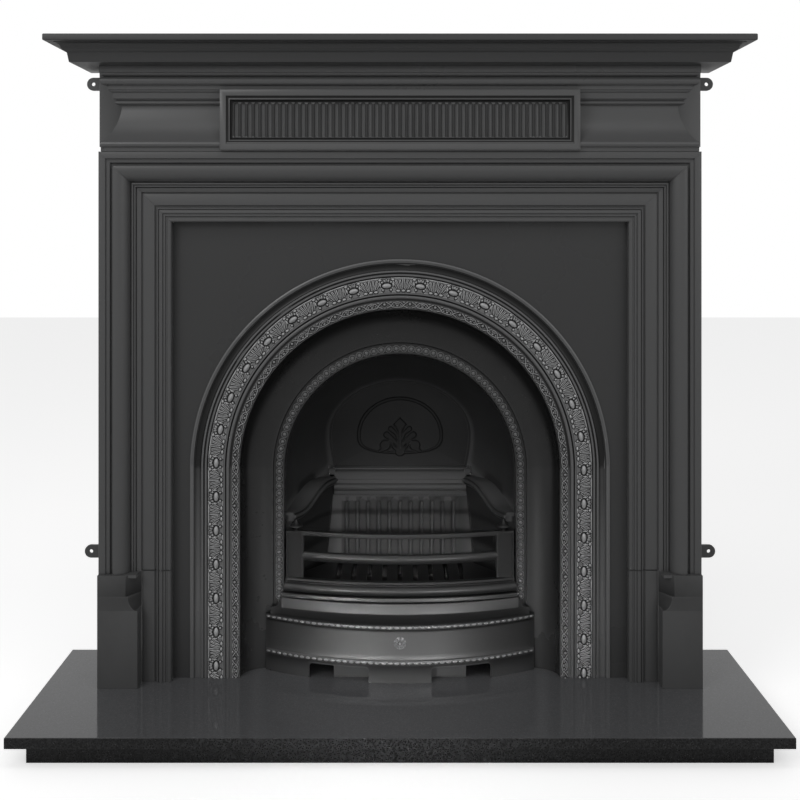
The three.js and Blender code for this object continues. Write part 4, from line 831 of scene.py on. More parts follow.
def outerBandRelief(u, v):
    # u: along, from the middle of a leaf clump; v: across, outwards
    period = bandLook["pitch"]
    u = (u + period / 2) % period - period / 2
    w = np.abs(u)
    egg = period / 2
    # clump: plump leaves that rise from its foot and bend away to both sides
    swell = 1.0 + 3.2 * np.exp(-(w / 16.0) ** 2) * np.clip((v + 15) / 30, 0, 1)
    h = swell * (w < egg - 9)
    h = np.maximum(h, leafLobe(w, v, 0, 3.0, 12.6, 3.5, 8.6, 90))
    for foot, turn, length, width, height in bandLeaves:
        middle = foot + 2.4 * math.cos(math.radians(turn))
        h = np.maximum(h, leafLobe(w, v, middle, 0.6, length, width, height, turn))
    h = np.maximum(h, dome(w, v, 0, -11.4, 4.4, 2.8, 5.6))
    h = np.maximum(h, dome(w, v, 10.5, -11.6, 4.6, 2.6, 4.6))
    # scrolls where the clump meets the egg's frame
    h = np.maximum(h, dome(w, v, egg - 12.8, 1.8, 2.1, 5.4, 5.4))
    h = np.maximum(h, dome(w, v, egg - 12.6, 10.4, 3.6, 3.0, 5.6))
    # ribs over the egg's outer side
    for offset in (0.0, 3.8, 7.6):
        rib = leafLobe(w, v, egg - offset, 9.6 - 0.25 * offset, 3.6, 1.8, 5.0, 90 + 6 * offset)
        h = np.maximum(h, rib)
    # smooth egg in a sunk bed with pearls at its corners
    bed = np.hypot((w - egg) / 11.6, (v + 1.4) / 6.8)
    h = np.where(bed < 1, np.minimum(h, 0.4), h)
    h = np.maximum(h, dome(w, v, egg, -1.4, 9.4, 5.1, 7.4))
    for along, across in ((8.2, -9.4), (8.8, 5.8)):
        bed = np.hypot(w - (egg - along), v - across)
        h = np.where(bed < 3.3, np.minimum(h, 0.4), h)
        h = np.maximum(h, dome(w, v, egg - along, across, 2.6, 2.6, 5.4))
    return h


innerLook = {"reference": 323.2, "half": 7.2, "floor": 50.75, "pitch": 49.9, "phase": 19.6,
             "acrossSteps": 26, "alongStep": 0.75}


def innerBandRelief(u, v):
    # u: along, from the middle of a pearl; v: across, outwards
    period = innerLook["pitch"]
    u = (u + period / 2) % period - period / 2
    w = np.abs(u)
    fan = period / 2
    # crossed stems between the pearls, with small leaves
    h = ridge(w, v, [(4.4, 5.2), (10.0, 1.6), (15.5, -4.4), (fan, -5.4)], 1.3, 2.8)
    h = np.maximum(h, ridge(w, v, [(5.0, -5.4), (11.5, -3.0), (17.5, 3.8), (fan, 5.6)], 1.1, 2.4))
    for offset, cv, length, turn in ((11.8, 5.0, 3.0, 10), (17.6, -1.2, 2.8, 40)):
        h = np.maximum(h, leafLobe(w, v, offset, cv, length, 1.5, 3.0, turn))
    # palmette midway
    h = np.maximum(h, dome(w, v, fan, -2.4, 3.0, 2.4, 4.0))
    for turn in (90, 45):
        c, s = math.cos(math.radians(turn)), math.sin(math.radians(turn))
        lobe = leafLobe(w, v, fan - 3.4 * c, -1.2 + 4.0 * s, 3.2, 1.5, 3.6, 180 - turn)
        h = np.maximum(h, lobe)
    bed = np.hypot(w, v - 1.2)
    h = np.where(bed < 4.4, np.minimum(h, 0.2), h)
    return np.maximum(h, dome(w, v, 0, 1.2, 3.1, 3.1, 5.6))


def addReliefBand(shape, look, relief):
    reference = look["reference"]
    total = math.pi / 2 * reference + legLength()
    along = np.linspace(-total, total, int(2 * total / look["alongStep"]) + 1)
    across = np.linspace(-look["half"], look["half"], look["acrossSteps"] + 1)
    u, v = np.meshgrid(along, across, indexing="ij")
    height = relief(u - look["phase"], v)
    fade = np.clip((look["half"] - np.abs(v)) / 0.9, 0, 1)
    height = height * fade - 0.25 * (1 - fade)
    addGrid(shape, archPlace(u, reference + v, look["floor"] - height, reference))


beadLook = {"radius": 242.3, "pitch": 15.1, "bead": 4.3, "beadRise": 1.05, "ring": 6.5,
            "ringThickness": 0.8, "ringRise": 1.3, "floor": 98.0, "foot": 134.0}


def addBeadRing(shape):
    # beads, each in a fine ring of its own
    look = beadLook
    reference, bead, thick = look["radius"], look["bead"], look["ringThickness"]
    top = math.pi / 2 * reference + legLength() - look["foot"]
    count = int(top / look["pitch"])
    sky = np.radians(np.linspace(0, 90, 6))[:, None]
    turn = np.radians(np.arange(0, 360, 30))[None, :]
    roll = np.radians(np.linspace(-20, 200, 7))[None, :]
    around = np.radians(np.arange(0, 360, 20))[:, None]
    beadReach, beadRise = bead * np.cos(sky), bead * np.sin(sky) * look["beadRise"]
    ringReach = look["ring"] + thick * np.cos(roll)
    ringRise = thick * np.sin(roll) * look["ringRise"]
    for i in range(-count, count + 1):
        run = (i + 0.5) * look["pitch"]
        if run > top:
            continue
        for reach, rise, angle, closing in ((beadReach, beadRise, turn, "ringColumns"),
                                            (ringReach, ringRise, around, "ringRows")):
            a, b = reach * np.cos(angle), reach * np.sin(angle)
            points = archPlace(run + a, reference + b, look["floor"] - rise, reference)
            addGrid(shape, points, **{closing: True})


def makeOrnament():
    for name, look, relief, finish in (
            ("archFoliage", bandLook, outerBandRelief, iron["ornamentIron"]),
            ("archInnerBand", innerLook, innerBandRelief, iron["innerIron"])):
        shape = newShape()
        addReliefBand(shape, look, relief)
        makePiece(shape, name, finish, "fireplace", sharp=75)
    shape = newShape()
    addBeadRing(shape)
    makePiece(shape, "archBeads", iron["beadIron"], "fireplace", sharp=60)


makeOrnament()
print("ornament made")

# fire chamber: hood, rails, ledge, fireback
chamberLook = {"throat": 231.0, "cheekFront": 218.0, "taper": 77.0, "railFront": 300.0,
               "railBack": 343.5, "railRadius": 9.0, "webOffset": 7.0, "ledgeHeight": 54.8,
               "wall": 5.0, "footGap": 0.15, "footReach": 243.0, "damperFoot": 368.4,
               "damperWaist": 438.8, "damperTop": 554.2, "damperHalf": 152.8,
               "damperFootHalf": 143.0, "damperSetBack": 253.0, "firebackHalf": 201.0,
               "flangeWidth": 23.0, "earGap": 6.5, "earWidth": 8.0, "hingeDrop": 3.0,
               "flutesDown": 12.5}
firebackFlutes = {"count": 11, "pitch": 22.7, "radius": 4.6, "length": 160.0, "rings": 6,
                  "steps": 16, "margin": 0.8, "lip": 0.35, "drop": 0.12}


def easeIn(k):
    return 1 - np.cos(np.asarray(k) * math.pi / 2)


def smoothStep(t):
    return t * t * (3 - 2 * t)


def chamberShare(setBack):
    front, back = layout["chamberFront"], layout["chamberBack"]
    return np.clip((np.asarray(setBack, float) - front) / (back - front), 0, 1)


def cheekX(setBack):
    return chamberLook["cheekFront"] - chamberLook["taper"] * chamberShare(setBack)


def railZ(setBack):
    share = smoothStep(smoothStep(chamberShare(setBack)))
    look = chamberLook
    return layout["hearthTop"] + look["railFront"] + (look["railBack"] - look["railFront"]) * share


def hoodX(setBack):
    look, front = chamberLook, layout["chamberFront"]
    k = np.clip((setBack - front) / (look["damperSetBack"] - front), 0, 1)
    return look["throat"] + (look["damperFootHalf"] - look["throat"]) * easeIn(k)


def closedOver(left, over):
    # one leg, the arch over it and the other leg
    return np.concatenate([left, over, (left * (-1, 1))[::-1]])


def hingeHeight():
    return layout["hearthTop"] + chamberLook["damperFoot"] - chamberLook["hingeDrop"]


def damperOutline(margin, legSteps=8, archSteps=64):
    look, base = chamberLook, layout["hearthTop"]
    foot, waist = base + look["damperFoot"], base + look["damperWaist"]
    half, footHalf = look["damperHalf"], look["damperFootHalf"]
    rise = base + look["damperTop"] - waist + margin
    t = np.linspace(0, 1, legSteps, endpoint=False)
    width = footHalf + (half - footHalf) * np.sin(t * math.pi / 2)
    left = np.column_stack([-width - margin, foot + (waist - foot) * t])
    return closedOver(left, arc(0, waist, half + margin, rise, 180, 0, archSteps))


def throatOutline(margin, legSteps=8, archSteps=64):
    look = chamberLook
    foot = float(railZ(layout["chamberFront"])) + look["railRadius"] + look["footGap"]
    centre, radius = float(archCentre(layout["insertBack"])), look["throat"] + margin
    t = np.linspace(0, 1, legSteps, endpoint=False)
    left = np.column_stack([np.full(legSteps, -radius), foot + (centre - foot) * t])
    return closedOver(left, arc(0, centre, radius, radius, 180, 0, archSteps))


def makeHood():
    look = chamberLook
    front, back, reach = layout["chamberFront"], look["damperSetBack"], look["footReach"]

    def skin(margin):
        rows = []
        for k in np.linspace(0, 1, 25):
            setBack = front + (back - front) * k
            ring = throatOutline(margin) * (1 - easeIn(k)) + damperOutline(margin) * easeIn(k)
            railTop = float(railZ(setBack)) + look["railRadius"] + look["footGap"]
            settle = float(np.clip((setBack - reach) / (back - reach), 0, 1))
            ring[[0, -1], 1] = railTop + np.maximum(ring[[0, -1], 1] - railTop, 0) * settle
            rows.append(spot(ring[:, 0], setBack, ring[:, 1]))
        return np.stack(rows)

    shape = newShape()
    inner, outer = skin(0.0), skin(look["wall"])
    addGrid(shape, np.concatenate([inner, outer[::-1]]), ringRows=True)
    # end strips along both feet
    for column in (0, -1):
        addGrid(shape, np.stack([inner[:, column], outer[:, column]]))
    near, wide = look["throat"] + 1, look["throat"] + 1 + look["flangeWidth"]
    flange = [(near, front), (wide, front), (wide, front + 6), (near, front + 6)]
    r, d = np.array(flange).T
    foot = float(railZ(front)) + look["railRadius"] + 2
    over = [spot(r * math.cos(a), d, archCentre(d) + r * math.sin(a))
            for a in np.radians(np.linspace(180, 0, 49))]
    addCapped(shape, [spot(-r, d, foot), *over, spot(r, d, foot)])
    z, ear = hingeHeight(), look["damperFootHalf"] + look["earGap"]
    for side in (-1, 1):
        x0, x1 = sorted((side * ear, side * (ear + look["earWidth"])))
        addBlock(shape, (x0, depthY(back - 10), z - 8), (x1, depthY(back + 9.8), z + 7))
    makePiece(shape, "smokeHoodCasting", iron["hoodIron"], "fireplace",
              ["smoke_hood"], sharp=40)


def makeLedgeAndRails():
    look = chamberLook
    front, back, r = layout["chamberFront"], layout["chamberBack"], look["railRadius"]
    half = look["cheekFront"] - look["taper"] - 0.5
    top = layout["hearthTop"] + look["railBack"] - 30.2
    face, height = back - 2, look["ledgeHeight"]
    shape = newShape()
    addSpan(shape, softened(outline(
        [(face + 18, top), (face, top), (face, top + 8)],
        arc(face, top + 16, 3.5, 7, 270, 90, 10),
        [(face + 2, top + 24), (face + 2, top + 32)],
        arc(face + 14, top + 33, 11, 18, 180, 90, 10),
        [(face + 14, top + height), (face + 18, top + height)]), 0.5), half)
    # moulded rail: a raised roll with a thin bead above it and another below
    nose = outline(arc(-1.5, -5.6, 3.2, 3.4, 275, 150, 5), arc(-1.2, 0.4, 7.8, 4.6, 235, 125, 8),
                   arc(-0.5, 6.2, 3.0, 2.8, 200, 90, 5))
    for side in (-1, 1):
        rows = []
        for d in np.linspace(front, back, 49):
            x, z = float(cheekX(d)), float(railZ(d))
            web, heel = float(hoodX(d)) + look["wall"] + 3, x + look["webOffset"]
            ring = outline(nose + (x, z),
                           [(web, z + r), (web, z + 3), (heel, z + 3), (heel, z - r)])
            rows.append(spot(side * ring[:, 0], d, ring[:, 1]))
        addCapped(shape, rows)
        for reach, rise in ((24, height - 13), (10, height)):
            x0, x1 = sorted((side * (half - 2), side * (half + reach)))
            addBlock(shape, (x0, depthY(back + 3), top), (x1, depthY(back + 9), top + rise))
    makePiece(shape, "ledgeCasting", iron["fireIron"], "fireplace",
              ["ledge_and_rails"], sharp=40)


def makeFireback():
    look, flutes = chamberLook, firebackFlutes
    top, foot = layout["hearthTop"] + look["railBack"] - 30.5, layout["standing"]
    face, half = layout["chamberBack"] + layout["fit"], look["firebackHalf"]
    middle = top - look["flutesDown"] - flutes["length"] / 2
    low, high = middle - flutes["length"] / 2 - 6, top - 4
    field = flutes["pitch"] * flutes["count"] / 2
    shape = newShape()
    addFlutedField(shape, flutes, middle, face, low, high, field)
    start = addGrid(shape, np.stack([
        squareRing(-field, field, low, high, face),
        squareRing(-half, half, foot, top, face, 1),
        squareRing(-half, half, foot, top, face + 1),
        squareRing(-half, half, foot, top, face + 10)]), ringColumns=True)
    shape["faces"].append([start + 12, start + 13, start + 14, start + 15])
    makePiece(shape, "firebackCasting", iron["flutedIron"], "fireplace", ["fireback"])


barsLook = {"setBack": 84.0, "postInner": 192.0, "postOuter": 227.0, "postTop": 278.8,
            "topThick": 9.0, "topBow": 24.5, "midHeight": 228.9, "midRadius": 9.5,
            "midBow": 28.3, "sillFoot": 150.2, "sillHeight": 35.9, "sillBow": 33.0,
            "flare": 0.027, "postDepth": 13.0}
cheekLook = {"wall": 6.0, "lean": 30.0, "flange": 252.0, "rearFlange": 201.0, "restTop": 167.7,
             "restReach": 36.0, "restLength": 22.0, "restDepth": 12.0, "webEdge": 7.05,
             "webTop": 2.5, "barRestTop": 149.9, "barRestSetBack": 88.0,
             "restShares": (0.2, 0.75)}


def railUnder(setBack):
    return float(railZ(setBack)) - chamberLook["railRadius"] - layout["fit"]


def cheekFaceX(setBack, z):
    # upright at the rail, spread at the foot
    top, foot = railUnder(setBack), layout["standing"]
    share = min(max((top - z) / (top - foot), 0), 1)
    return float(cheekX(setBack)) + cheekLook["lean"] * float(chamberShare(setBack)) * share


def makeCheeks():
    look, hood, base = cheekLook, chamberLook, layout["hearthTop"]
    front, back, foot = layout["chamberFront"], layout["chamberBack"], layout["standing"]
    wall, flange, rear = look["wall"], look["flange"], look["rearFlange"]
    shape = newShape()
    rows = []
    for d in np.linspace(front, back, 33):
        top = railUnder(d)
        low, high = cheekFaceX(d, foot), cheekFaceX(d, top)
        rows.append(spot([low, low + wall, high + wall, high], d, [foot, foot, top, top]))
    addCapped(shape, rows)
    under, inner = railUnder(front), hood["cheekFront"]
    webTop = float(railZ(front)) + look["webTop"]
    for x, low, high in ((inner + 0.2, foot + 0.1, under),
                         (inner + look["webEdge"], under - 1, webTop)):
        addBlock(shape, (x, depthY(front + 0.1), low), (flange, depthY(front + 5.9), high))
    top = base + hood["railFront"]
    x0, x1 = cheekFaceX(back, foot) + 2, cheekFaceX(back, top) + 2
    addCapped(shape, [spot([x0, rear, rear, x1], d, [foot + 0.1, foot + 0.1, top, top])
                      for d in (back - 5.9, back - 0.1)])
    top = base + look["restTop"]
    for share in look["restShares"]:
        d = front + (back - front) * share
        near = cheekFaceX(d, top)
        addBlock(shape, (near - look["restReach"], depthY(d), top - look["restDepth"]),
                 (near + 2, depthY(d + look["restLength"]), top))
    top = base + look["barRestTop"]
    addBlock(shape, (inner - 12, depthY(look["barRestSetBack"]), top - look["restDepth"]),
             (barsLook["postOuter"] - 2, depthY(front + 1), top))
    makePiece(shape, "cheekRight", iron["cheekIron"], "fireplace", ["right_cheek"])
    makePiece(mirrorShape(shape), "cheekLeft", iron["cheekIron"], "fireplace",
              ["left_cheek"])


makeHood()
makeLedgeAndRails()
makeFireback()
makeCheeks()
print("fire chamber made")


# damper flap with its leaf and loop
damperLook = {"thickness": 6.0, "lap": 3.0, "rollRadius": 7.35, "rollShort": 4.5,
              "middle": 445.0, "rimLine": 0.95, "rimWidth": 1.3, "rimHeight": 1.1,
              "fieldStep": 0.95, "fieldHalf": 97.0, "fieldLow": 390.0, "fieldHigh": 520.0,
              "fieldSink": 0.25, "loopHalf": 88.6, "loopMiddle": 437.0, "loopRise": 78.4,
              "loopDrop": 37.9, "bandHalf": 3.6, "bandHeight": 2.4, "leafHeight": 3.4,
              "veinDepth": 0.9}
# limbs of the leaf, half of it: across, height and half width of each point
leafLimbs = (
    [(0, 402, 11.0), (0, 418, 6.0), (0, 443, 4.6), (0, 455, 9.5)],
    [(3.5, 428, 3.4), (9.5, 441, 3.8), (20.0, 450, 5.6)],
    [(4.5, 414, 4.2), (15.5, 427.5, 4.6), (28.6, 437, 7.0)],
    [(44.0, 401.5, 3.6), (36.0, 406.0, 5.0)],
    [(6.0, 404, 4.0), (14.0, 411, 3.0), (19.5, 421.5, 3.0), (25.0, 424.5, 2.6)],
)


def addLowRelief(shape, path, width, height, face, steps=7):
    # a rounded raised line laid on the flap
    tangent = np.gradient(path, axis=0)
    tangent /= np.linalg.norm(tangent, axis=1)[:, None]
    side = np.column_stack([-tangent[:, 1], tangent[:, 0]])
    rows = []
    for a in np.radians(np.linspace(0, 180, steps)):
        line = path + side * (width * math.cos(a))
        rows.append(spot(line[:, 0], face + 0.4 - (height + 0.4) * math.sin(a), line[:, 1]))
    addGrid(shape, np.stack(rows, 1))


def limb(x, z, points):
    # distance outside a bent limb whose width changes from point to point
    away = np.full_like(x, 1e3)
    for (x0, z0, r0), (x1, z1, r1) in zip(points[:-1], points[1:]):
        dx, dz = x1 - x0, z1 - z0
        t = np.clip(((x - x0) * dx + (z - z0) * dz) / (dx * dx + dz * dz), 0, 1)
        away = np.minimum(away, np.hypot(x - x0 - t * dx, z - z0 - t * dz) - (r0 + (r1 - r0) * t))
    return away


def damperRelief(x, z):
    # heights above the flap: a loop with a flat foot, two buds and a seven-lobed leaf
    look, w = damperLook, np.abs(x)
    up = z - look["loopMiddle"]
    power = np.where(up > 0, 2.0, 3.0)
    tall = np.where(up > 0, look["loopRise"], look["loopDrop"])
    share = (w / look["loopHalf"]) ** power + (np.abs(up) / tall) ** power
    reach = np.hypot(x, up)
    band = np.abs(reach - reach / np.maximum(share, tiny) ** (1 / power)) - look["bandHalf"]
    leaf = (w / 14.5 + np.abs(z - 459.5) / 15.0 - 1) * 8.5
    for points in leafLimbs:
        leaf = np.minimum(leaf, limb(w, z, points))
    leaf = np.minimum(leaf, np.hypot(w - 32.0, z - 414.5) - 11.4)

    def raised(away, height):
        return height * smoothStep(np.clip(0.5 - away / 1.9, 0, 1))

    height = np.maximum(raised(band, look["bandHeight"]), raised(leaf, look["leafHeight"]))
    vein = limb(w, z, [(0.01, 408, 0.1), (0.0, 452, 0.1)])
    return height - look["veinDepth"] * np.exp(-vein ** 2) * (leaf < -2)


def makeDamper():
    look, base = damperLook, layout["hearthTop"]
    face, z = chamberLook["damperSetBack"] + layout["fit"], hingeHeight()
    rim = damperOutline(look["lap"])
    half = chamberLook["damperFootHalf"] + look["lap"]
    ring = outline([(-half, z)], rim, [(half, z)])
    centre = np.array([0.0, base + look["middle"]])
    shape, rows = newShape(), []
    for shrink, sink in ((0, 0), (0.965, 0), (0.985, 0.2), (1, 1), (1, look["thickness"]),
                         (0, look["thickness"])):
        loop = centre + (ring - centre) * shrink
        rows.append(spot(loop[:, 0], face + sink, loop[:, 1]))
    addGrid(shape, np.stack(rows), ringColumns=True)
    # thin raised line inside the arched edge
    line = centre + (rim - centre) * look["rimLine"]
    addLowRelief(shape, line, look["rimWidth"], look["rimHeight"], face)
    r, length = look["rollRadius"], half - look["rollShort"]
    roll = [(0, -length), (r - 0.6, -length), (r, -length + 0.6)]
    roll += [(radius, -along) for radius, along in reversed(roll)]
    addTurned(shape, roll, (0, depthY(face + look["thickness"] / 2 + 1), z), "x", 24)
    xs = np.arange(-look["fieldHalf"], look["fieldHalf"] + 0.1, look["fieldStep"])
    zs = np.arange(look["fieldLow"], look["fieldHigh"] + 0.1, look["fieldStep"])
    x, z = np.meshgrid(xs, zs, indexing="ij")
    addGrid(shape, spot(x, face + look["fieldSink"] - damperRelief(x, z) * 1.1, z + base))
    makePiece(shape, "damperCasting", iron["damperIron"], "damper", ["damper_flap"],
              sharp=60)


makeDamper()
print("damper made")


# front bars, sill and finials
def bow(x, halfChord, rise):
    radius = (halfChord ** 2 + rise ** 2) / (2 * rise)
    return np.sqrt(np.maximum(radius ** 2 - np.asarray(x, float) ** 2, 0)) - (radius - rise)


def addBowed(shape, section, halfLength, rise, steps, spread=1.0):
    # a section carried along a bow; spread widens it, by one number or one for each point
    addCapped(shape, [
        spot(x * spread, section[:, 0] - bow(x, halfLength, rise), section[:, 1])
        for x in np.linspace(-halfLength, halfLength, steps + 1)])


# radius and height of the finial above its post
finialProfile = [
    (0, -6), (3, -6), (3, 0.3), (5.4, 0.3), (5.8, 0.7), (5.8, 1.2), (5.4, 1.6), (4.2, 2.4),
    (3.5, 3.6), (3.4, 5.2), (4.4, 6.3), (6.5, 7), (10, 7.6), (12.4, 8.2), (13, 8.9), (13, 9.6),
    (12.4, 10.5), (10.6, 11.7), (8.2, 13.2), (6.2, 14.9), (4.6, 16.6), (3.2, 18.6),
    (2.2, 20.2), (1.5, 21.4), (0.8, 22.2), (0, 22.4)]


def makeBars():
    look, base = barsLook, layout["hearthTop"]
    inner, outer, sillHalf = look["postInner"], look["postOuter"], look["postOuter"] + 1
    foot, top = base + look["sillFoot"], base + look["postTop"]
    postSet = look["setBack"] - float(bow(inner, sillHalf, look["sillBow"])) + 6
    shape = newShape()
    for side in (-1, 1):
        # post with a sunk face inside a thin raised border
        x0, x1 = sorted((side * inner, side * outer))
        rows = []
        for inset, d in ((0.0, look["postDepth"]), (0.0, 0.8), (0.8, 0.0), (3.0, 0.0), (3.8, 1.4)):
            rows.append(squareRing(x0, x1, foot + 5, top, postSet + d, inset))
        addCapped(shape, rows)
    d, under = postSet + 1, top - look["topThick"]
    bar = [(d, top - 1), (d + 1, top), (d + 11, top), (d + 11, under), (d + 1, under)]
    bar.append((d, under + 1))
    addBowed(shape, softened(bar, 1.6, 4), inner + 4, look["topBow"], 40)
    r = look["midRadius"]
    bar = arc(d + 6, base + look["midHeight"], r - 2.5, r, 0, 345, 23)
    addBowed(shape, bar, inner + 4, look["midBow"], 40)
    d, high = look["setBack"], foot + look["sillHeight"]
    sill = softened(outline(
        [(d + 11, foot), (d + 11, high), (d - 1, high), (d - 3, high - 3), (d - 1, high - 6.5)],
        arc(d - 1, foot + 19, 8, 9, 90, 270, 14),
        [(d - 5, foot + 8.5), (d - 9, foot + 7.5), (d - 10, foot + 1), (d - 9, foot)]), 0.9, 3)
    spread = 1 + look["flare"] * (1 - (sill[:, 1] - foot) / look["sillHeight"])
    addBowed(shape, sill, sillHalf, look["sillBow"], 48, spread)
    makePiece(shape, "frontBarsCasting", iron["barIron"], "bars", ["front_bars"],
              sharp=40)
    x, y = (inner + outer) / 2 - 2.5, depthY(postSet + look["postDepth"] / 2)
    for side, name, node in ((-1, "finialLeft", "left_finial"),
                             (1, "finialRight", "right_finial")):
        shape = newShape()
        addTurned(shape, finialProfile, (side * x, y, top), "z", 32)
        makePiece(shape, name, iron["barIron"], "bars", [node], sharp=50)


makeBars()
print("bars made")


# ash-pit cover with bead rows and rosette
coverLook = {"half": 268.0, "end": 86.0, "bow": 65.5, "beadZ": 108.5, "footBeadZ": 39.5,
             "rimZ": 145.5, "rimHalf": 236.0, "rimSetBack": 46.0, "rimBow": 40.0, "wall": 5.0,
             "cutInner": 61.0, "cutOuter": 178.0, "cutTop": 29.0, "cutCorner": 7.0,
             "shoulder": 15.0, "shadeEdge": 234.0, "pearlPitch": 12.6, "pearlRadius": 2.6,
             "pearlHalf": 4.7}
rosetteLook = {"height": 0.54, "sink": 5.9, "petals": 8, "reach": 8.8, "stretch": 1.25}
rosetteRings = (
    (20, [(0, -4.6), (1.6, -4.4), (3.0, -3.6), (3.4, -2.4), (3.4, 0.5)]),
    (24, [(0, -2.0), (4.4, -2.0), (5.2, -2.4), (6.0, -2.0), (6.2, 0.5)]),
    (32, [(0, -0.9), (11.4, -0.9), (12.4, -0.4), (12.4, 0.5)]),
)
petalProfile = [(0, -3.8), (1.5, -3.4), (2.5, -2.1), (2.9, -0.6), (3.0, 0.5)]


def coverFront(x):
    return coverLook["end"] - bow(x, coverLook["half"], coverLook["bow"])


def coverRim(x):
    look = coverLook
    inside = np.minimum(np.abs(x), look["rimHalf"])
    return look["rimSetBack"] + look["rimBow"] - bow(inside, look["rimHalf"], look["rimBow"])


def openingTop(x):
    # height of the air opening at x, or the foot where the wall stands
    look = coverLook
    reach, corner = abs(x), look["cutCorner"]
    inner = min(reach - look["cutInner"], look["cutOuter"] - reach)
    top = layout["hearthTop"] + look["cutTop"]
    if inner <= 0:
        return layout["standing"]
    if inner >= corner:
        return top
    return top - corner + math.sqrt(max(corner ** 2 - (corner - inner) ** 2, 0))


def coverStations():
    # even steps, with more of them at the openings' rounded corners
    look = coverLook
    near = []
    for side in (-1, 1):
        for x, inwards in ((look["cutInner"], 1), (look["cutOuter"], -1)):
            near += [side * (x - 0.01), side * (x + 0.01)]
            near += [side * (x + inwards * look["cutCorner"] * t) for t in np.linspace(0.1, 1, 7)]
    return np.unique(np.concatenate([np.linspace(-look["half"], look["half"], 145), near]))


def coverWall(x, low, high):
    # low and high: the heights of the two bead rows
    foot = openingTop(float(x))
    section = outline(
        [(8, foot), (3, foot), (3, max(foot + 0.01, low - 6.2)), (2.6, low - 5.6)],
        [(1.2, low - 5.2), (0.6, low - 3.6), (0.2, low), (0.6, low + 3.6), (1.4, low + 4.6)],
        [(3.0, low + 5.2), (3.4, low + 6.4), (4.2, low + 10), (4.6, low + 16), (6.6, high - 12)],
        [(6.6, high - 7.4), (5.6, high - 5.4), (2.4, high - 4.4), (0.8, high - 3.4), (0.3, high)],
        [(0.6, high + 2.6), (1.6, high + 4.0), (4, high + 4.8), (7, high + 4.4), (9, high + 2)],
        [(9, low + 6)],
    )
    return spot(x, section[:, 0] + float(coverFront(x)), section[:, 1])


def coverTop(x, halfTop, bead, shoulder, rimTop):
    # hollow top rising to the rim, and running out over both ends
    look = coverLook
    share = min(max((abs(x) - look["rimHalf"]) / (halfTop - look["rimHalf"]), 0), 1)
    edge = rimTop - (rimTop - shoulder - 3) * smoothStep(min(share * 1.6, 1.0))
    front, rim, wall = float(coverFront(x)) + 3, float(coverRim(x)), look["wall"]
    hollow = outline(
        [(front + (rim - front) * t, bead + 4.2 + 10.8 * t ** 1.5)
         for t in (0, 0.12, 0.3, 0.5, 0.7, 0.86)],
        [(rim - 0.6, shoulder + 0.6), (rim, shoulder + 1.8), (rim, edge - 1), (rim + 0.9, edge)],
        [(rim + wall - 0.8, edge), (rim + wall, edge - 0.8), (rim + wall, shoulder - 5)],
        [(front + 4, bead - 0.5)],
    )
    return spot(x, hollow[:, 0], hollow[:, 1])


def turnedPoints(points, angle, first, second):
    # the points turned in the plane of two of their axes
    c, s = math.cos(angle), math.sin(angle)
    turned = points.copy()
    turned[:, first] = points[:, first] * c - points[:, second] * s
    turned[:, second] = points[:, first] * s + points[:, second] * c
    return turned


def makePearls(levels):
    # rows of long pearls
    look = coverLook
    radius = (look["half"] ** 2 + look["bow"] ** 2) / (2 * look["bow"])
    sweep = math.asin(look["half"] / radius)
    count = int(2 * sweep * radius / look["pearlPitch"])
    profile = [(look["pearlRadius"] * math.sin(a), -look["pearlHalf"] * math.cos(a))
               for a in np.linspace(0, math.pi, 9)]
    pearl, pearls = newShape(), newShape()
    addTurned(pearl, profile, (0, 0, 0), "x", 10)
    for level in levels:
        for i in range(count):
            angle = (i - (count - 1) / 2) * (2 * sweep / count)
            d = look["end"] - (radius * math.cos(angle) - (radius - look["bow"]))
            place = (radius * math.sin(angle), depthY(d + 0.9), level)
            addPart(pearls, pearl, turnedPoints(pearl["points"][0], angle, 0, 1) + place)
    makePiece(pearls, "coverPearls", iron["pearlIron"], "ash_cover", sharp=60)


def makeRosette(low, high):
    look, rosette, petal = rosetteLook, newShape(), newShape()
    centre = (0, depthY(float(coverFront(0)) + look["sink"]), low + (high - low) * look["height"])
    for steps, profile in rosetteRings:
        addTurned(rosette, profile, centre, "y", steps)
    addTurned(petal, petalProfile, (0, 0, 0), "y", 12)
    points = petal["points"][0] * (1.0, 1.0, look["stretch"]) + (0, 0, look["reach"])
    for k in range(look["petals"]):
        angle = 2 * math.pi * k / look["petals"]
        addPart(rosette, petal, turnedPoints(points, angle, 0, 2) + centre)
    makePiece(rosette, "coverRosette", iron["rosetteIron"], "ash_cover", sharp=40)


def makeCover():
    look, base = coverLook, layout["hearthTop"]
    low, high, rimTop = base + look["footBeadZ"], base + look["beadZ"], base + look["rimZ"]
    shoulder, halfTop = high + look["shoulder"], look["half"] - 10
    shape = newShape()
    addCapped(shape, [coverWall(x, low, high) for x in coverStations()])
    addCapped(shape, [coverTop(x, halfTop, high, shoulder, rimTop)
                      for x in np.linspace(-halfTop, halfTop, 97)])
    piece = makePiece(shape, "ashCoverCasting", iron["coverIron"], "ash_cover",
                      ["ash_pit_cover"], sharp=42)
    # painted shade: the hollow top and its run-out ends get a darker, less glossy copy of the iron
    piece.data.materials.append(iron["shadedTopIron"])
    for polygon in piece.data.polygons:
        place = polygon.center / mm
        level = polygon.normal.z > 0.3 and place.z < shoulder + 3
        if place.z > high + 3 and (abs(place.x) > look["shadeEdge"] or level):
            polygon.material_index = 1
    makePearls((low, high))
    makeRosette(low, high)


makeCover()
print("ash-pit cover made")

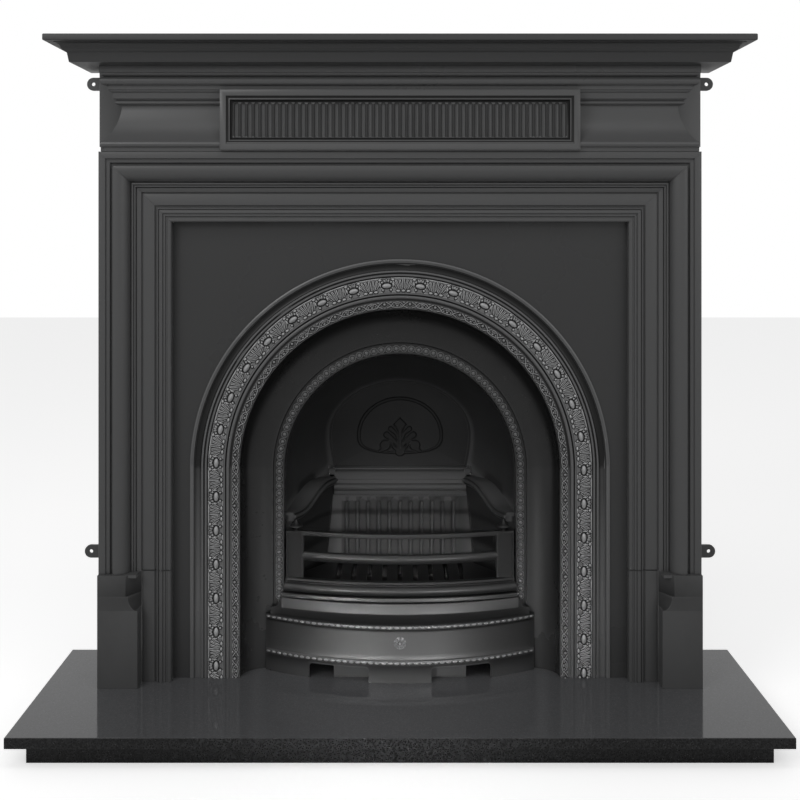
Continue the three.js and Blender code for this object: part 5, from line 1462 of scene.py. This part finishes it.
# floor, lights and camera
studioLook = {"cameraPlace": (0.0, -1.9995, 0.941), "lens": 47.03, "shift": -0.215,
              "sensor": (24, 36), "worldLight": 0.4, "beam": 11.0, "floorHalf": 9.0,
              "floorZ": -0.0005, "paper": 0.9, "paperGlow": 0.5}
lights = {
    "keyLight": {"power": 32.0, "size": (1.6, 1.2), "place": (-2.1, -2.6, 2.6), "aim": 0.6},
    "fillLight": {"power": 9.0, "size": (1.6, 1.6), "place": (2.4, -2.6, 1.6), "aim": 0.6},
    "topLight": {"power": 10.0, "size": (2.4, 0.8), "place": (0, -1.2, 3.0), "aim": 0.7},
    "grazeLight": {"power": 0.56, "size": (0.34, 0.3), "place": (-0.95, -2.5, 0.2), "aim": 0.14},
    "stripLight": {"power": 0.32, "size": (0.3, 0.3), "place": (0.78, -2.5, 0.2), "aim": 0.14},
}
narrowLights = ("grazeLight", "stripLight")


def addHolder(name, data, place):
    holder = bpy.data.objects.new(name, data)
    holder.location = place
    bpy.context.scene.collection.objects.link(holder)
    return holder


def makeFloor():
    look = studioLook
    half, z = look["floorHalf"], look["floorZ"]
    mesh = bpy.data.meshes.new("studioFloor")
    corners = [(-half, -half, z), (half, -half, z), (half, half, z), (-half, half, z)]
    mesh.from_pydata(corners, [], [(0, 1, 2, 3)])
    floor = addHolder("studioFloor", mesh, (0, 0, 0))
    paper = bpy.data.materials.new("studioPaper")
    paper.use_nodes = True
    nodes, links = paper.node_tree.nodes, paper.node_tree.links
    shader = nodes["Principled BSDF"]
    level = look["paper"]
    shader.inputs["Base Color"].default_value = (level, level, level, 1)
    shader.inputs["Roughness"].default_value = 0.9
    shader.inputs["Specular IOR Level"].default_value = 0.0
    shader.inputs["Emission Color"].default_value = (1, 1, 1, 1)
    seen = nodes.new("ShaderNodeLightPath").outputs["Is Camera Ray"]
    glow = addMath(nodes, links, "MULTIPLY", seen, look["paperGlow"])
    links.new(glow, shader.inputs["Emission Strength"])
    mesh.materials.append(paper)


def makeWorld():
    # white to the camera and in reflections, softer as a light
    world = bpy.data.worlds.new("studioWorld")
    bpy.context.scene.world = world
    world.use_nodes = True
    nodes, links = world.node_tree.nodes, world.node_tree.links
    background = nodes["Background"]
    background.inputs["Color"].default_value = (1, 1, 1, 1)
    seen = nodes.new("ShaderNodeLightPath").outputs
    white = addMath(nodes, links, "MAXIMUM", seen["Is Camera Ray"], seen["Is Glossy Ray"])
    white = addMath(nodes, links, "MAXIMUM", white, seen["Is Transmission Ray"])
    strength = addRange(nodes, links, white, 0.0, 1.0, studioLook["worldLight"], 1.0)
    links.new(strength, background.inputs["Strength"])


def makeStudio():
    look = studioLook
    makeFloor()
    makeWorld()
    for name, light in lights.items():
        lamp = bpy.data.lights.new(name, "AREA")
        lamp.shape = "RECTANGLE"
        lamp.size, lamp.size_y = light["size"]
        lamp.energy = light["power"]
        if name in narrowLights:
            lamp.spread = math.radians(look["beam"])
        holder = addHolder(name, lamp, light["place"])
        aim = Vector((0, 0, light["aim"])) - Vector(light["place"])
        holder.rotation_euler = aim.to_track_quat("-Z", "Y").to_euler()
    camera = bpy.data.cameras.new("studioCamera")
    camera.sensor_fit = "VERTICAL"
    camera.sensor_width, camera.sensor_height = look["sensor"]
    camera.lens = look["lens"]
    camera.shift_y = look["shift"]
    holder = addHolder("studioCamera", camera, look["cameraPlace"])
    holder.rotation_euler = (math.radians(90), 0, 0)
    bpy.context.scene.camera = holder
    bpy.context.scene.view_settings.view_transform = "Standard"


makeStudio()
print("studio made")
